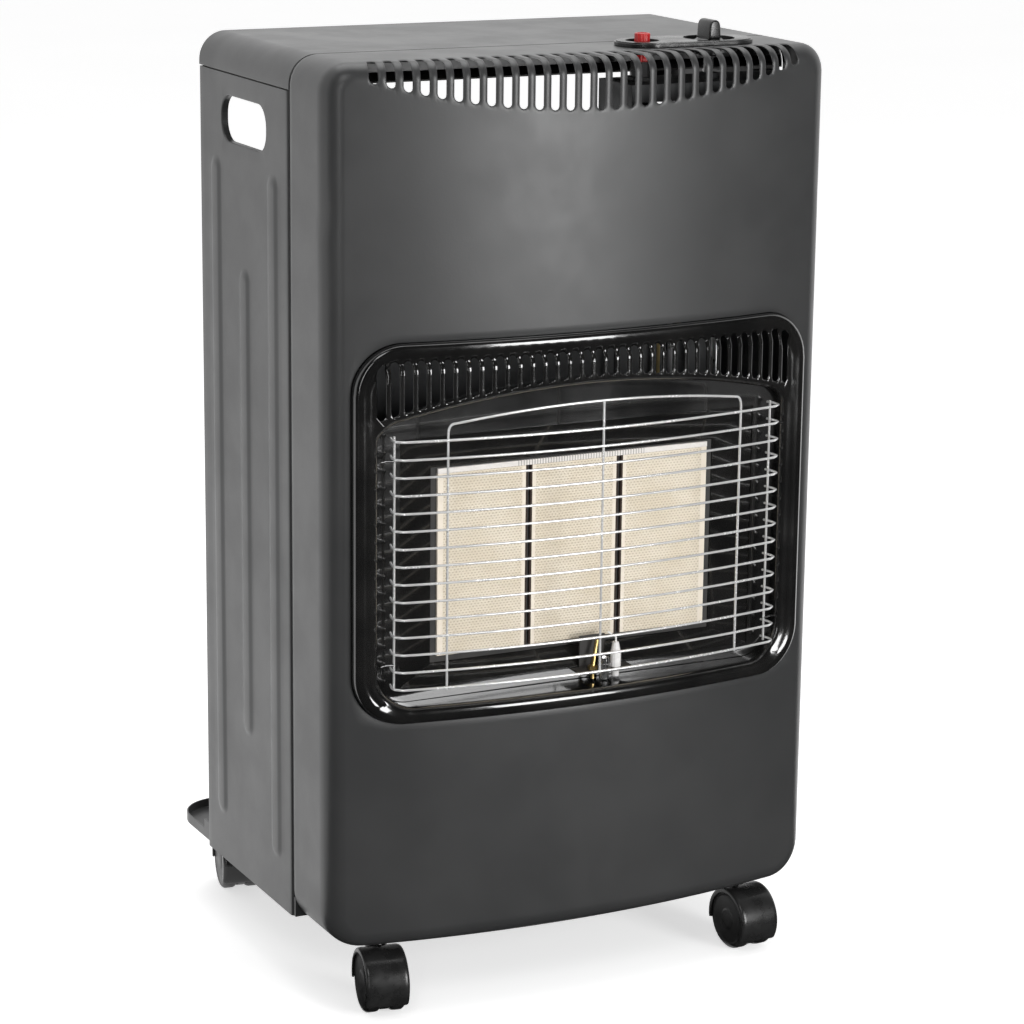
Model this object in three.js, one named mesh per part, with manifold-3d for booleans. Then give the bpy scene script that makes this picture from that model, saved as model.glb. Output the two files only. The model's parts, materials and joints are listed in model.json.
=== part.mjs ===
// A portable gas cabinet heater: a sheet-steel cabinet on castors that holds a gas bottle, with a
// bowed pressed front, three ceramic burner plaques behind a wire guard, and its controls on top.
// Millimetres. +X is the right of someone facing the heater, -Y is the front, +Z is up.
// Inside the cabinet group y = 0 is the seam where the front panel meets the side panels.
import * as THREE from 'three';
import { mergeVertices } from 'three/addons/utils/BufferGeometryUtils.js';
import Module from 'manifold-3d';

const wasm = await Module();
wasm.setup();

// Cabinet
const cabinetWidth = 420;
const topZ = 732;
const sideDepth = 181.5;
const faceReach = 93.5;
const tailReach = 270;
const sheet = 1.2;
const seat = 0.3;
const baseZ = 62;
const coverDrop = 26;
const coverEdgeRadius = 22;
const skirtDrop = 43;

// Bowed front panel
const bowRadius = 880;
const reveal = 2.5;
const frontBottomZ = 56;
const frontTopRadius = 22;
const frontBottomRadius = 30;
const frontEdgeRadius = 14;
const frontReturn = 14;

// Louvres that wrap from the top on to the face
const louvreEdge = 31;
const louvrePitch = 12.54;
const louvreWidth = 6.5;
const louvreStartY = -61;
const louvreDrop = 39;
const louvreArc = 24.5;

// Window, its enamelled trim and the arched opening
const windowSide = 17.5;
const windowBottomZ = 236;
const windowTopZ = 528;
const windowRadius = 38;
const windowLip = 9;
const trimProud = 7;
const trimEdgeRadius = 4;
const trimBorder = 20.5;
const openingBottomZ = 249;
const openingShoulderZ = 465;
const openingCrownZ = 488;
const openingLowerRadius = 27;
const openingUpperRadius = 12;
const trimSlotEdge = 18;
const trimSlotPitch = 10.09;
const trimSlotWidth = 6;
const trimSlotTopZ = 514.5;
const trimSlotMargin = 6;

// Burner
const plaqueWidth = 75.5;
const plaqueHeight = 142;
const plaqueDepth = 13;
const plaqueStep = 78;
const plaqueBottomZ = 279;
const plaqueFaceY = -60.2;
const plaqueRim = 5.5;
const plenumDepth = 46;
const reflectorRim = 20.75;
const reflectorRise = 9;
const gasketHeight = 4;
const venturiRadius = 11;
const venturiLength = 22;
const railZ = 232;
const railRadius = 6;

// Wire guard
const guardWireCount = 15;
const guardPitch = 13.58;
const guardBottomZ = 265.8;
const guardClear = 11;
const guardReach = 108.8;
const guardBow = 16.7;
const guardReturn = 17;
const guardBulge = 3;
const guardBends = 5;
const wireRadius = 1.4;
const guardPostInset = 36.6;
const guardCrown = 21;
const guardCrownDrop = 10;

// Pilot
const pilotX = 18;
const pilotSpacing = 10;

// Controls
const bezelLength = 114;
const bezelWidth = 48;
const bezelHeight = 3.5;
const bezelInset = 108;
const bezelY = -33;
const knobOffset = 22;
const knobHoleRadius = 20;
const buttonOffset = 36;
const buttonHoleRadius = 13;
const knobWidth = 10;
const knobLength = 20;
const knobHeight = 17;
const knobHubRadius = 10;
const knobTravel = 4;
const spindleRadius = 4;
const valveNeckRadius = 8;
const outletOffset = 11;
const buttonRadius = 6;
const buttonHeight = 13;
const buttonTravel = 5;
const bracketDrop = 28;
const valveWidth = 34;
const valveHeight = 46;
const igniterRadius = 9;
const igniterDrop = 36;
const igniterTerminal = 8;

// Side panels
const beadWidth = 22;
const beadHeight = 1.5;
const beadStep = 57.5;
const beadBottomZ = 100;
const beadDrop = 92;
const shortBeadBottomZ = 183;
const shortBeadDrop = 172;
const handleLength = 86;
const handleHeight = 32;
const handleY = 90;
const handleDrop = 61;
const handleLip = 9;
const sideReturn = 14;

// Base, inner sheets and rear cover
const trayWall = 16;
const trayFrontY = -56;
const trayFrontInset = 16;
const trayRadius = 34;
const tailInset = 4;
const shieldDrop = 92;
const shieldReturn = 16;
const rearCoverTopZ = 477;
const rearCoverReach = 7;
const ribInnerX = 60;
const ribWidth = 18;
const ribFrontY = 30;
const ribInset = 21.5;
const ribHeight = 5;

// Castors
const wheelRadius = 24.5;
const wheelWidth = 11;
const wheelSpread = 10.2;
const hoodRadius = 26.4;
const hoodWidth = 31.6;
const hoodWall = 1.2;
const axleRadius = 3;
const trail = 15;
const stemRadius = 4;
const neckRadius = 7;
const castorInset = 50;
const frontCastorY = -46;
const rearCastorY = 252;
const castorPlate = 36;
const webHalf = 3.4;
const castorSides = 16;

// Pipes and leads
const pipeRadius = 4;
const pilotPipeRadius = 2;
const leadRadius = 1.5;
const leadTurnZ = 290;
const pipeDrop = 102;
const pipeTurnDrop = 132;
const coupleDrop = 172;
const coupleTurnDrop = 197;
const pilotPipeY = -3;
const coupleLeadY = -7.5;
const ignitionLeadY = -11.5;

const coverSeamZ = topZ - coverDrop;
const rearSkirtZ = topZ - skirtDrop;
const louvreMiddleZ = topZ - louvreDrop;
const bracketZ = topZ - bracketDrop;
const handleZ = topZ - handleDrop;
const beadTopZ = topZ - beadDrop;
const shortBeadTopZ = topZ - shortBeadDrop;
const shieldTopZ = topZ - shieldDrop;
const pipeDropZ = topZ - pipeDrop;
const pipeTurnZ = topZ - pipeTurnDrop;
const coupleDropZ = topZ - coupleDrop;
const coupleTurnZ = topZ - coupleTurnDrop;
const half = cabinetWidth / 2;
const windowHalf = half - windowSide;
const openingHalf = windowHalf - trimBorder;
const guardHalf = openingHalf - guardClear;
const guardPostX = guardHalf - guardPostInset;
const louvreCount = 2 * Math.floor((half - louvreEdge) / louvrePitch) + 1;
const trimSlotCount = 2 * Math.floor((windowHalf - trimSlotEdge) / trimSlotPitch) + 1;
const bezelX = half - bezelInset;
const knobX = bezelX + knobOffset;
const buttonX = bezelX - buttonOffset;
const castorX = half - castorInset;
const trayFrontHalf = half - trayFrontInset;
const tailHalf = half - tailInset;
const inner = half - sheet;
const castorTopZ = baseZ - seat;
const burnerHalf = plaqueStep + plaqueWidth / 2;
const plaqueTopZ = plaqueBottomZ + plaqueHeight;
const plaqueBackY = plaqueFaceY + plaqueDepth;
const plenumHalf = burnerHalf + plaqueRim;
const reflectorFlare = openingHalf - plenumHalf - reflectorRim;
const plenumBottomZ = plaqueBottomZ - plaqueRim;
const plenumTopZ = plaqueTopZ + plaqueRim;
const mouthBottomZ = plenumBottomZ - 14;
const mouthTopZ = plenumTopZ + 26;
const plenumFrontY = plaqueFaceY + 1;
const plenumBackY = plaqueBackY + plenumDepth - plaqueDepth;
const reflectorY = plenumFrontY - reflectorRise;
const burnerXs = [-plaqueStep, 0, plaqueStep];
const venturiY = (plaqueBackY + plenumBackY) / 2;
const rearCoverY = sideDepth + seat;
const pilotShelfZ = openingBottomZ + 8;
const pilotY = reflectorY - sheet - seat - 10;
const leadZ = pilotShelfZ - 3;
const valveTopZ = bracketZ - seat;
const inletZ = valveTopZ - 24;
const spindleBaseZ = bracketZ + sheet + 4 + seat;
const spindleTopZ = topZ - 2;
const knobBaseZ = topZ - 10;
const knobFinZ = topZ + bezelHeight + 1;
const igniterTopZ = topZ - 12;
const igniterFootZ = bracketZ - igniterDrop - igniterTerminal;
const hoodTopZ = wheelRadius + hoodRadius;
const axleReach = wheelSpread + wheelWidth / 2 - 2 - 2 * seat;
const castorPlaces = [
  { name: 'front_left', x: -castorX, y: frontCastorY, swivel: -10 },
  { name: 'front_right', x: castorX, y: frontCastorY, swivel: 3 },
  { name: 'rear_left', x: -castorX, y: rearCastorY, swivel: -10 },
  { name: 'rear_right', x: castorX, y: rearCastorY, swivel: 6 },
];

// The face is a shallow bow: y of the front panel's outer face at x, moved back by set
const bowY = (x, set = 0) => -faceReach + set + (x * x) / (2 * bowRadius);

// Pressed and moulded finishes
const finish = (color, roughness, metalness) => new THREE.MeshStandardMaterial({ color, roughness, metalness });
const charcoal = finish(0x4c4c50, 0.42, 0.35);
const enamel = finish(0x0b0b0c, 0.16, 0.2);
const galvanised = finish(0x8d9092, 0.45, 0.8);
const sootBlack = finish(0x18181a, 0.6, 0.3);
const ceramic = finish(0xe2d6bf, 0.85, 0);
const fibre = finish(0xcfc8bb, 0.9, 0);
const chrome = finish(0xe8e8e8, 0.18, 1);
const brass = finish(0xb08d4f, 0.35, 1);
const porcelain = finish(0xf2f2ee, 0.25, 0);
const blackPlastic = finish(0x141416, 0.4, 0);
const redPlastic = finish(0xb3171b, 0.35, 0);
const rubber = finish(0x101010, 0.7, 0);
const steel = finish(0xb5b7b9, 0.3, 0.9);

// ---- Solids ----

function toSolid(geometry) {
  const bare = geometry.clone();
  bare.deleteAttribute('normal');
  bare.deleteAttribute('uv');
  const merged = mergeVertices(bare, 1e-4);
  return new wasm.Manifold(new wasm.Mesh({
    numProp: 3,
    vertProperties: new Float32Array(merged.attributes.position.array),
    triVerts: new Uint32Array(merged.index.array),
  }));
}

function toGeometry(solid) {
  const mesh = solid.getMesh();
  const geometry = new THREE.BufferGeometry();
  geometry.setAttribute('position', new THREE.BufferAttribute(new Float32Array(mesh.vertProperties), 3));
  geometry.setIndex(new THREE.BufferAttribute(new Uint32Array(mesh.triVerts), 1));
  const flat = geometry.toNonIndexed();
  flat.computeVertexNormals();
  return flat;
}

const join = (solids) => solids.reduce((sum, next) => sum.add(next));

function block(x0, x1, y0, y1, z0, z1) {
  const geometry = new THREE.BoxGeometry(x1 - x0, y1 - y0, z1 - z0);
  geometry.translate((x0 + x1) / 2, (y0 + y1) / 2, (z0 + z1) / 2);
  return toSolid(geometry);
}

// A cylinder along x, y or z from start to start + length along that axis
function rod(axis, x, y, z, radius, length, sides = 16, farRadius = radius) {
  const geometry = new THREE.CylinderGeometry(farRadius, radius, length, sides);
  geometry.translate(0, length / 2, 0);
  if (axis === 'x') geometry.rotateZ(-Math.PI / 2);
  if (axis === 'z') geometry.rotateX(Math.PI / 2);
  geometry.translate(x, y, z);
  return toSolid(geometry);
}

// The outline as plain points, with no point twice
function trimmed(shape, segments) {
  const points = shape.getPoints(segments);
  const kept = points.filter((p, k) => p.distanceTo(points[(k + 1) % points.length]) > 1e-4);
  return new THREE.Shape(kept);
}

const extrude = (shape, depth, segments) =>
  new THREE.ExtrudeGeometry(trimmed(shape, segments), { depth, bevelEnabled: false });

// An outline in x and z, between two y planes
function plateY(shape, y0, y1, segments = 5) {
  return toSolid(extrude(shape, y1 - y0, segments).rotateX(Math.PI / 2).translate(0, y1, 0));
}

// An outline in x and y, between two z planes
function plateZ(shape, z0, z1, segments = 5) {
  return toSolid(extrude(shape, z1 - z0, segments).translate(0, 0, z0));
}

// An outline in y and z, between two x planes
function plateX(shape, x0, x1, segments = 5) {
  const turn = new THREE.Matrix4().makeBasis(
    new THREE.Vector3(0, 1, 0), new THREE.Vector3(0, 0, 1), new THREE.Vector3(1, 0, 0));
  return toSolid(extrude(shape, x1 - x0, segments).applyMatrix4(turn).translate(x0, 0, 0));
}

// A rectangle with its own radius at each end pair: low radius at v0, high radius at v1
function roundRect(u0, u1, v0, v1, lowRadius, highRadius = lowRadius) {
  const shape = new THREE.Shape();
  const quarter = Math.PI / 2;
  shape.moveTo(u0 + lowRadius, v0);
  shape.lineTo(u1 - lowRadius, v0);
  if (lowRadius > 0) shape.absarc(u1 - lowRadius, v0 + lowRadius, lowRadius, -quarter, 0);
  shape.lineTo(u1, v1 - highRadius);
  if (highRadius > 0) shape.absarc(u1 - highRadius, v1 - highRadius, highRadius, 0, quarter);
  shape.lineTo(u0 + highRadius, v1);
  if (highRadius > 0) shape.absarc(u0 + highRadius, v1 - highRadius, highRadius, quarter, 2 * quarter);
  shape.lineTo(u0, v0 + lowRadius);
  if (lowRadius > 0) shape.absarc(u0 + lowRadius, v0 + lowRadius, lowRadius, 2 * quarter, 3 * quarter);
  return shape;
}

// A slot with round ends, centred on (u, v), long in v
function slotShape(u, v, width, length) {
  const r = width / 2;
  return roundRect(u - r, u + r, v - length / 2, v + length / 2, r - 0.01);
}

function polygon(points) {
  return new THREE.Shape(points.map(([u, v]) => new THREE.Vector2(u, v)));
}

// The same solid on both sides of the heater
const mirrored = (make) => join([make(-1), make(1)]);
const across = (side, near, far) => (side < 0 ? [-far, -near] : [near, far]);

// A closed block with a rounded-rectangle outline and a bowed front whose edge is rounded.
// Rings run from the flat back to the face, and each ring has top and bottom points at shared
// stations across the width, so both end caps are made of upright strips.
function bowedBlock({ halfWidth, bottom, top, lowRadius, highRadius, edgeRadius, set, back }) {
  const cornerSteps = 4;
  const middleSteps = 6;
  const edgeSteps = 3;
  const ring = (inset, yAt) => {
    const w = halfWidth - inset;
    const low = lowRadius - inset;
    const high = highRadius - inset;
    const big = Math.max(low, high);
    const edge = Array.from({ length: cornerSteps + 1 },
      (_, k) => w - big * (1 - Math.cos((k / cornerSteps) * (Math.PI / 2))));
    const middle = Array.from({ length: middleSteps - 1 },
      (_, k) => (w - big) * (1 - (2 * (k + 1)) / middleSteps));
    const stations = [...edge, ...middle, ...edge.map((x) => -x).reverse()].reverse();
    const drop = (r, x) => {
      const past = Math.abs(x) - (w - r);
      return past > 0 ? r - Math.sqrt(Math.max(r * r - past * past, 0)) : 0;
    };
    return stations.map((x) => ({
      x, y: yAt(x), high: top - inset - drop(high, x), low: bottom + inset + drop(low, x),
    }));
  };
  const rings = [ring(0, () => back)];
  for (let k = 0; k <= edgeSteps; k += 1) {
    const turn = ((k / edgeSteps) * Math.PI) / 2;
    const sink = edgeRadius * (1 - Math.sin(turn));
    rings.push(ring(edgeRadius * (1 - Math.cos(turn)), (x) => bowY(x, set) + sink));
  }
  const n = rings[0].length;
  const points = rings.flatMap((r) => [
    ...r.map((p) => [p.x, p.y, p.high]),
    ...r.map((p) => [p.x, p.y, p.low]).reverse(),
  ]);
  const faces = [];
  const quad = (a, b, c, d) => faces.push(a, b, c, a, c, d);
  for (let k = 0; k + 1 < rings.length; k += 1) {
    for (let j = 0; j < 2 * n; j += 1) {
      const next = (j + 1) % (2 * n);
      quad(k * 2 * n + j, (k + 1) * 2 * n + j, (k + 1) * 2 * n + next, k * 2 * n + next);
    }
  }
  const face = (rings.length - 1) * 2 * n;
  for (let j = 0; j + 1 < n; j += 1) {
    quad(face + j, face + 2 * n - 1 - j, face + 2 * n - 2 - j, face + j + 1);
    quad(j, j + 1, 2 * n - 2 - j, 2 * n - 1 - j);
  }
  const geometry = new THREE.BufferGeometry();
  geometry.setAttribute('position', new THREE.Float32BufferAttribute(points.flat(), 3));
  geometry.setIndex(faces);
  return toSolid(geometry);
}

// The same block hollowed to one sheet thickness and open at the back
function bowedShell(size) {
  const hollow = bowedBlock({
    ...size,
    halfWidth: size.halfWidth - sheet,
    bottom: size.bottom + sheet,
    top: size.top - sheet,
    lowRadius: size.lowRadius - sheet,
    highRadius: size.highRadius - sheet,
    edgeRadius: size.edgeRadius - sheet,
    set: size.set + sheet,
    back: size.back + sheet,
  });
  return bowedBlock(size).subtract(hollow);
}

// Everything between two surfaces parallel to the bowed face
function bowSlab(near, far, halfWidth, z0, z1) {
  const steps = 8;
  const xs = Array.from({ length: steps + 1 }, (_, k) => halfWidth * ((2 * k) / steps - 1));
  const front = xs.map((x) => [x, bowY(x, near)]);
  const rear = xs.map((x) => [x, bowY(x, far)]).reverse();
  return plateZ(polygon([...front, ...rear]), z0, z1);
}

// The arched window opening, grown outwards by grow
function archShape(grow) {
  const w = openingHalf + grow;
  const bottom = openingBottomZ - grow;
  const low = openingLowerRadius + grow;
  const high = openingUpperRadius + grow;
  const crown = openingCrownZ + grow;
  const arc = openingCrownZ - openingShoulderZ;
  const archZ = (x) => crown - arc * (x / openingHalf) ** 2;
  const steps = 6;
  const shape = new THREE.Shape();
  shape.moveTo(-w + low, bottom);
  shape.lineTo(w - low, bottom);
  shape.absarc(w - low, bottom + low, low, -Math.PI / 2, 0);
  shape.lineTo(w, archZ(w) - high);
  shape.quadraticCurveTo(w, archZ(w), w - high, archZ(w - high));
  for (let k = 1; k <= steps; k += 1) {
    const x = (w - high) * (1 - (2 * k) / steps);
    shape.lineTo(x, archZ(x));
  }
  shape.quadraticCurveTo(-w, archZ(w), -w, archZ(w) - high);
  shape.lineTo(-w, bottom + low);
  shape.absarc(-w + low, bottom + low, low, Math.PI, 1.5 * Math.PI);
  return shape;
}

// A (radius, z) profile turned about the z axis
function revolve(profile, sides) {
  const points = profile.map(([r, z]) => new THREE.Vector2(r, z));
  return toSolid(new THREE.LatheGeometry(points, sides).rotateX(Math.PI / 2));
}

const group = new THREE.Group();
// Front to back the heater reaches from the guard wires to the rear lip of the base
const frontmost = guardReach + wireRadius * Math.SQRT1_2;
const cabinet = new THREE.Group();
cabinet.position.y = (frontmost - tailReach) / 2;
group.add(cabinet);

function place(name, solid, material, parent = cabinet) {
  const mesh = new THREE.Mesh(toGeometry(solid), material);
  mesh.name = name;
  parent.add(mesh);
  return mesh;
}

// ---- Cabinet panels ----

function louvreSlots() {
  const last = (louvreCount - 1) / 2;
  const slots = Array.from({ length: louvreCount }, (_, k) => {
    const x = (k - last) * louvrePitch;
    const z = louvreMiddleZ + louvreArc * ((k - last) / last) ** 2;
    return block(x - louvreWidth / 2, x + louvreWidth / 2, -faceReach - 5, louvreStartY, z, topZ + 5);
  });
  return join(slots);
}

function frontPanel() {
  const shell = bowedShell({
    halfWidth: half, bottom: frontBottomZ, top: topZ, lowRadius: frontBottomRadius,
    highRadius: frontTopRadius, edgeRadius: frontEdgeRadius, set: 0, back: -reveal,
  });
  const window = (grow) => roundRect(-windowHalf - grow, windowHalf + grow,
    windowBottomZ - grow, windowTopZ + grow, windowRadius + grow);
  const lip = plateY(window(sheet), -faceReach - 5, 0)
    .intersect(bowSlab(sheet / 2, windowLip, half - sheet, windowBottomZ - 9, windowTopZ + 9));
  // The rear edge is folded in, and rests on the land of each side panel
  const fold = mirrored((side) => {
    const [x0, x1] = across(side, half - frontReturn, half - sheet / 2);
    return block(x0, x1, -reveal - sheet, -reveal, baseZ + frontBottomRadius, coverSeamZ - 10);
  });
  const underside = block(-half + frontEdgeRadius, half - frontEdgeRadius, trayFrontY - 4, 10,
    frontBottomZ - 5, frontBottomZ + 3 * sheet);
  const knobHole = rod('z', knobX, bezelY, topZ - 5, knobHoleRadius + 2 * sheet + seat, 10, 16);
  const buttonHole = rod('z', buttonX, bezelY, topZ - 5, buttonHoleRadius + 2 * sheet + seat, 10, 16);
  return join([shell, lip, fold])
    .subtract(plateY(window(0), -faceReach - 5, 0))
    .subtract(louvreSlots())
    .subtract(join([underside, knobHole, buttonHole]));
}

function topCover() {
  const outline = (inset, low) =>
    roundRect(-half + inset, half - inset, low, topZ - inset, 0, coverEdgeRadius - inset);
  const skin = plateY(outline(0, coverSeamZ + seat), 0, sideDepth, 6)
    .subtract(plateY(outline(sheet, coverSeamZ - 5), -1, sideDepth + 1, 6));
  const frontFold = plateY(outline(sheet / 2, coverSeamZ + seat), 0, sheet, 6)
    .subtract(block(-half, half, -1, 5, 0, topZ - 16));
  const clear = half - sideReturn - 1;
  const rearSkirt = plateY(outline(sheet / 2, coverSeamZ + seat), sideDepth - sheet, sideDepth, 6)
    .add(block(-clear, clear, sideDepth - sheet, sideDepth, rearSkirtZ, coverSeamZ + 5));
  return join([skin, frontFold, rearSkirt]);
}

// A vertical bead with round ends, pressed out of a side panel
function bead(y, z0, z1, lift) {
  const bevel = beadHeight;
  const width = beadWidth - 4 * bevel;
  const outline = trimmed(slotShape(y, (z0 + z1) / 2, width, z1 - z0 - 4 * bevel), 1);
  const geometry = new THREE.ExtrudeGeometry(outline, {
    depth: 1, bevelEnabled: true, bevelThickness: bevel, bevelSize: 2 * bevel, bevelSegments: 1,
  });
  geometry.applyMatrix4(new THREE.Matrix4().makeBasis(
    new THREE.Vector3(0, 1, 0), new THREE.Vector3(0, 0, 1), new THREE.Vector3(1, 0, 0)));
  return toSolid(geometry.translate(half - 1 + lift, 0, 0));
}

function sidePanel(side) {
  const wall = plateZ(polygon([
    [half, 0], [half, sideDepth], [half - sideReturn, sideDepth], [half - sideReturn, sideDepth - sheet],
    [inner, sideDepth - sheet], [inner, sheet], [half - 2 * sideReturn, sheet], [half - 2 * sideReturn, 0],
  ]), baseZ, coverSeamZ);
  const trayRoom = block(0, inner, -1, sideDepth + 1, baseZ - 1, baseZ + trayWall + seat);
  // The land that the front panel's folded edge rests on
  const land = block(half - frontReturn, half - frontReturn + 8, seat - reveal, sheet / 2,
    baseZ + frontBottomRadius, coverSeamZ - 10);
  const beads = (lift) => join([
    bead(handleY + beadStep, beadBottomZ, beadTopZ, lift),
    bead(handleY, shortBeadBottomZ, shortBeadTopZ, lift),
    bead(handleY - beadStep, beadBottomZ, beadTopZ, lift),
  ]);
  const hole = (grow) => roundRect(handleY - handleLength / 2 - grow, handleY + handleLength / 2 + grow,
    handleZ - handleHeight / 2 - grow, handleZ + handleHeight / 2 + grow, handleHeight / 2 - 2 + grow);
  const lip = plateX(hole(sheet), half - handleLip, half - sheet / 2, 4);
  const panel = join([wall, land, beads(0), lip])
    .subtract(beads(-sheet).intersect(block(0, inner + beadHeight, 0, sideDepth, 0, topZ)))
    .subtract(plateX(hole(0), half - 20, half + 20, 4))
    .subtract(trayRoom);
  return side < 0 ? panel.mirror([1, 0, 0]) : panel;
}

function baseTray() {
  const outline = (inset) => {
    const shape = new THREE.Shape();
    const w = inner - seat - inset;
    const front = trayFrontHalf - inset;
    const tail = tailHalf - inset;
    const r = trayRadius - inset;
    shape.moveTo(-front, trayFrontY + inset);
    shape.lineTo(front, trayFrontY + inset);
    shape.lineTo(front, inset - reveal / 2);
    shape.lineTo(w, inset - reveal / 2);
    shape.lineTo(w, sideDepth);
    shape.lineTo(tail, sideDepth + 4);
    shape.lineTo(tail, tailReach - inset - r);
    shape.absarc(tail - r, tailReach - inset - r, r, 0, Math.PI / 2);
    shape.lineTo(-tail + r, tailReach - inset);
    shape.absarc(-tail + r, tailReach - inset - r, r, Math.PI / 2, Math.PI);
    shape.lineTo(-tail, sideDepth + 4);
    shape.lineTo(-w, sideDepth);
    shape.lineTo(-w, inset - reveal / 2);
    shape.lineTo(-front, inset - reveal / 2);
    return shape;
  };
  const floor = plateZ(outline(0), baseZ, baseZ + trayWall)
    .subtract(plateZ(outline(sheet), baseZ + sheet, baseZ + trayWall + 5))
    .subtract(block(-half, half, sideDepth + 20, tailReach + 5, baseZ + 8, baseZ + trayWall + 5));
  // Two pressed ribs that the bottle stands on
  const ribs = mirrored((side) => {
    const [x0, x1] = across(side, ribInnerX, ribInnerX + ribWidth);
    return block(x0, x1, ribFrontY, sideDepth - ribInset, baseZ + sheet / 2, baseZ + ribHeight);
  });
  const stemHoles = castorPlaces.map(({ x, y }) => rod('z', x, y, baseZ - 1, stemRadius + 1, 5, 16));
  const coverSlots = mirrored((side) => {
    const [x0, x1] = across(side, 120, 145);
    return block(x0, x1, rearCoverY - seat, rearCoverY + sheet + seat, baseZ - 1, baseZ + 3);
  });
  return floor.add(ribs).subtract(join([...stemHoles, coverSlots]));
}

// ---- Inner sheets and rear cover ----

function rearCover() {
  const w = half - 8;
  const low = baseZ + sheet + seat;
  const skin = block(-w, w, rearCoverY, rearCoverY + sheet, low, rearCoverTopZ);
  const rims = mirrored((side) => {
    const [x0, x1] = across(side, w - sheet, w);
    return block(x0, x1, rearCoverY, rearCoverY + rearCoverReach, low + 20, rearCoverTopZ);
  });
  const topRim = block(-w, w, rearCoverY, rearCoverY + rearCoverReach, rearCoverTopZ - sheet, rearCoverTopZ);
  const panelRib = (z) =>
    plateY(roundRect(-w + 30, w - 30, z, z + 14, 6), rearCoverY + sheet / 2, rearCoverY + 3, 3);
  const tabs = mirrored((side) => {
    const [x0, x1] = across(side, 122, 143);
    return block(x0, x1, rearCoverY, rearCoverY + sheet, baseZ - 6, low + 1);
  });
  const vents = [-2, -1, 0, 1, 2].map((k) =>
    plateY(slotShape(k * 40, low + 50, 10, 46), rearCoverY - 5, rearCoverY + 20, 1));
  return join([skin, rims, topRim, panelRib(rearCoverTopZ - 90), panelRib(low + 110), tabs])
    .subtract(join(vents));
}

function heatShield() {
  const w = inner - seat;
  const y = sheet + seat;
  const low = baseZ + trayWall + seat;
  const wall = block(-w, w, y, y + sheet, low, shieldTopZ);
  const fold = block(-w, w, y, y + shieldReturn, shieldTopZ - sheet, shieldTopZ);
  const foot = block(-w + 10, w - 10, y, y + shieldReturn, low, low + sheet);
  const inTray = w - sheet - seat;
  const skirt = block(-inTray, inTray, y, y + sheet, baseZ + sheet + seat, baseZ + trayWall + 2);
  return join([wall, fold, foot, skirt]);
}

function deflector() {
  const w = inner - seat;
  const z = topZ - coverEdgeRadius - 2;
  const roof = block(-w, w, sheet + seat, sideDepth - 6, z, z + sheet);
  const folds = mirrored((side) => {
    const [x0, x1] = across(side, w - sheet, w);
    return block(x0, x1, sheet + seat, sideDepth - 6, z - 14, z + sheet);
  });
  return roof.add(folds);
}

// ---- Window trim, burner and guard ----

const archDrop = (x) => (openingCrownZ - openingShoulderZ) * (x / openingHalf) ** 2;
const trimSlotZ = (x) => openingCrownZ + trimSlotMargin - archDrop(x);

function windowTrim() {
  const clear = 0.5;
  const shell = bowedShell({
    halfWidth: windowHalf - clear, bottom: windowBottomZ + clear, top: windowTopZ - clear,
    lowRadius: windowRadius, highRadius: windowRadius, edgeRadius: trimEdgeRadius,
    set: -trimProud, back: reflectorY + 2,
  });
  const wall = plateY(archShape(sheet), -faceReach - 20, reflectorY + sheet + 1, 5)
    .intersect(bowSlab(-trimProud + sheet / 2, faceReach, half, windowBottomZ, windowTopZ));
  const last = (trimSlotCount - 1) / 2;
  const slots = join(Array.from({ length: trimSlotCount }, (_, k) => {
    const x = (k - last) * trimSlotPitch;
    const z = trimSlotZ(x);
    const r = trimSlotWidth / 2;
    return block(x - r, x + r, bowY(x, -trimProud - 3), bowY(x, -trimProud + 4 * sheet), z, trimSlotTopZ);
  }));
  return shell.add(wall)
    .subtract(plateY(archShape(0), -faceReach - 30, 10, 5))
    .subtract(slots);
}

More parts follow.
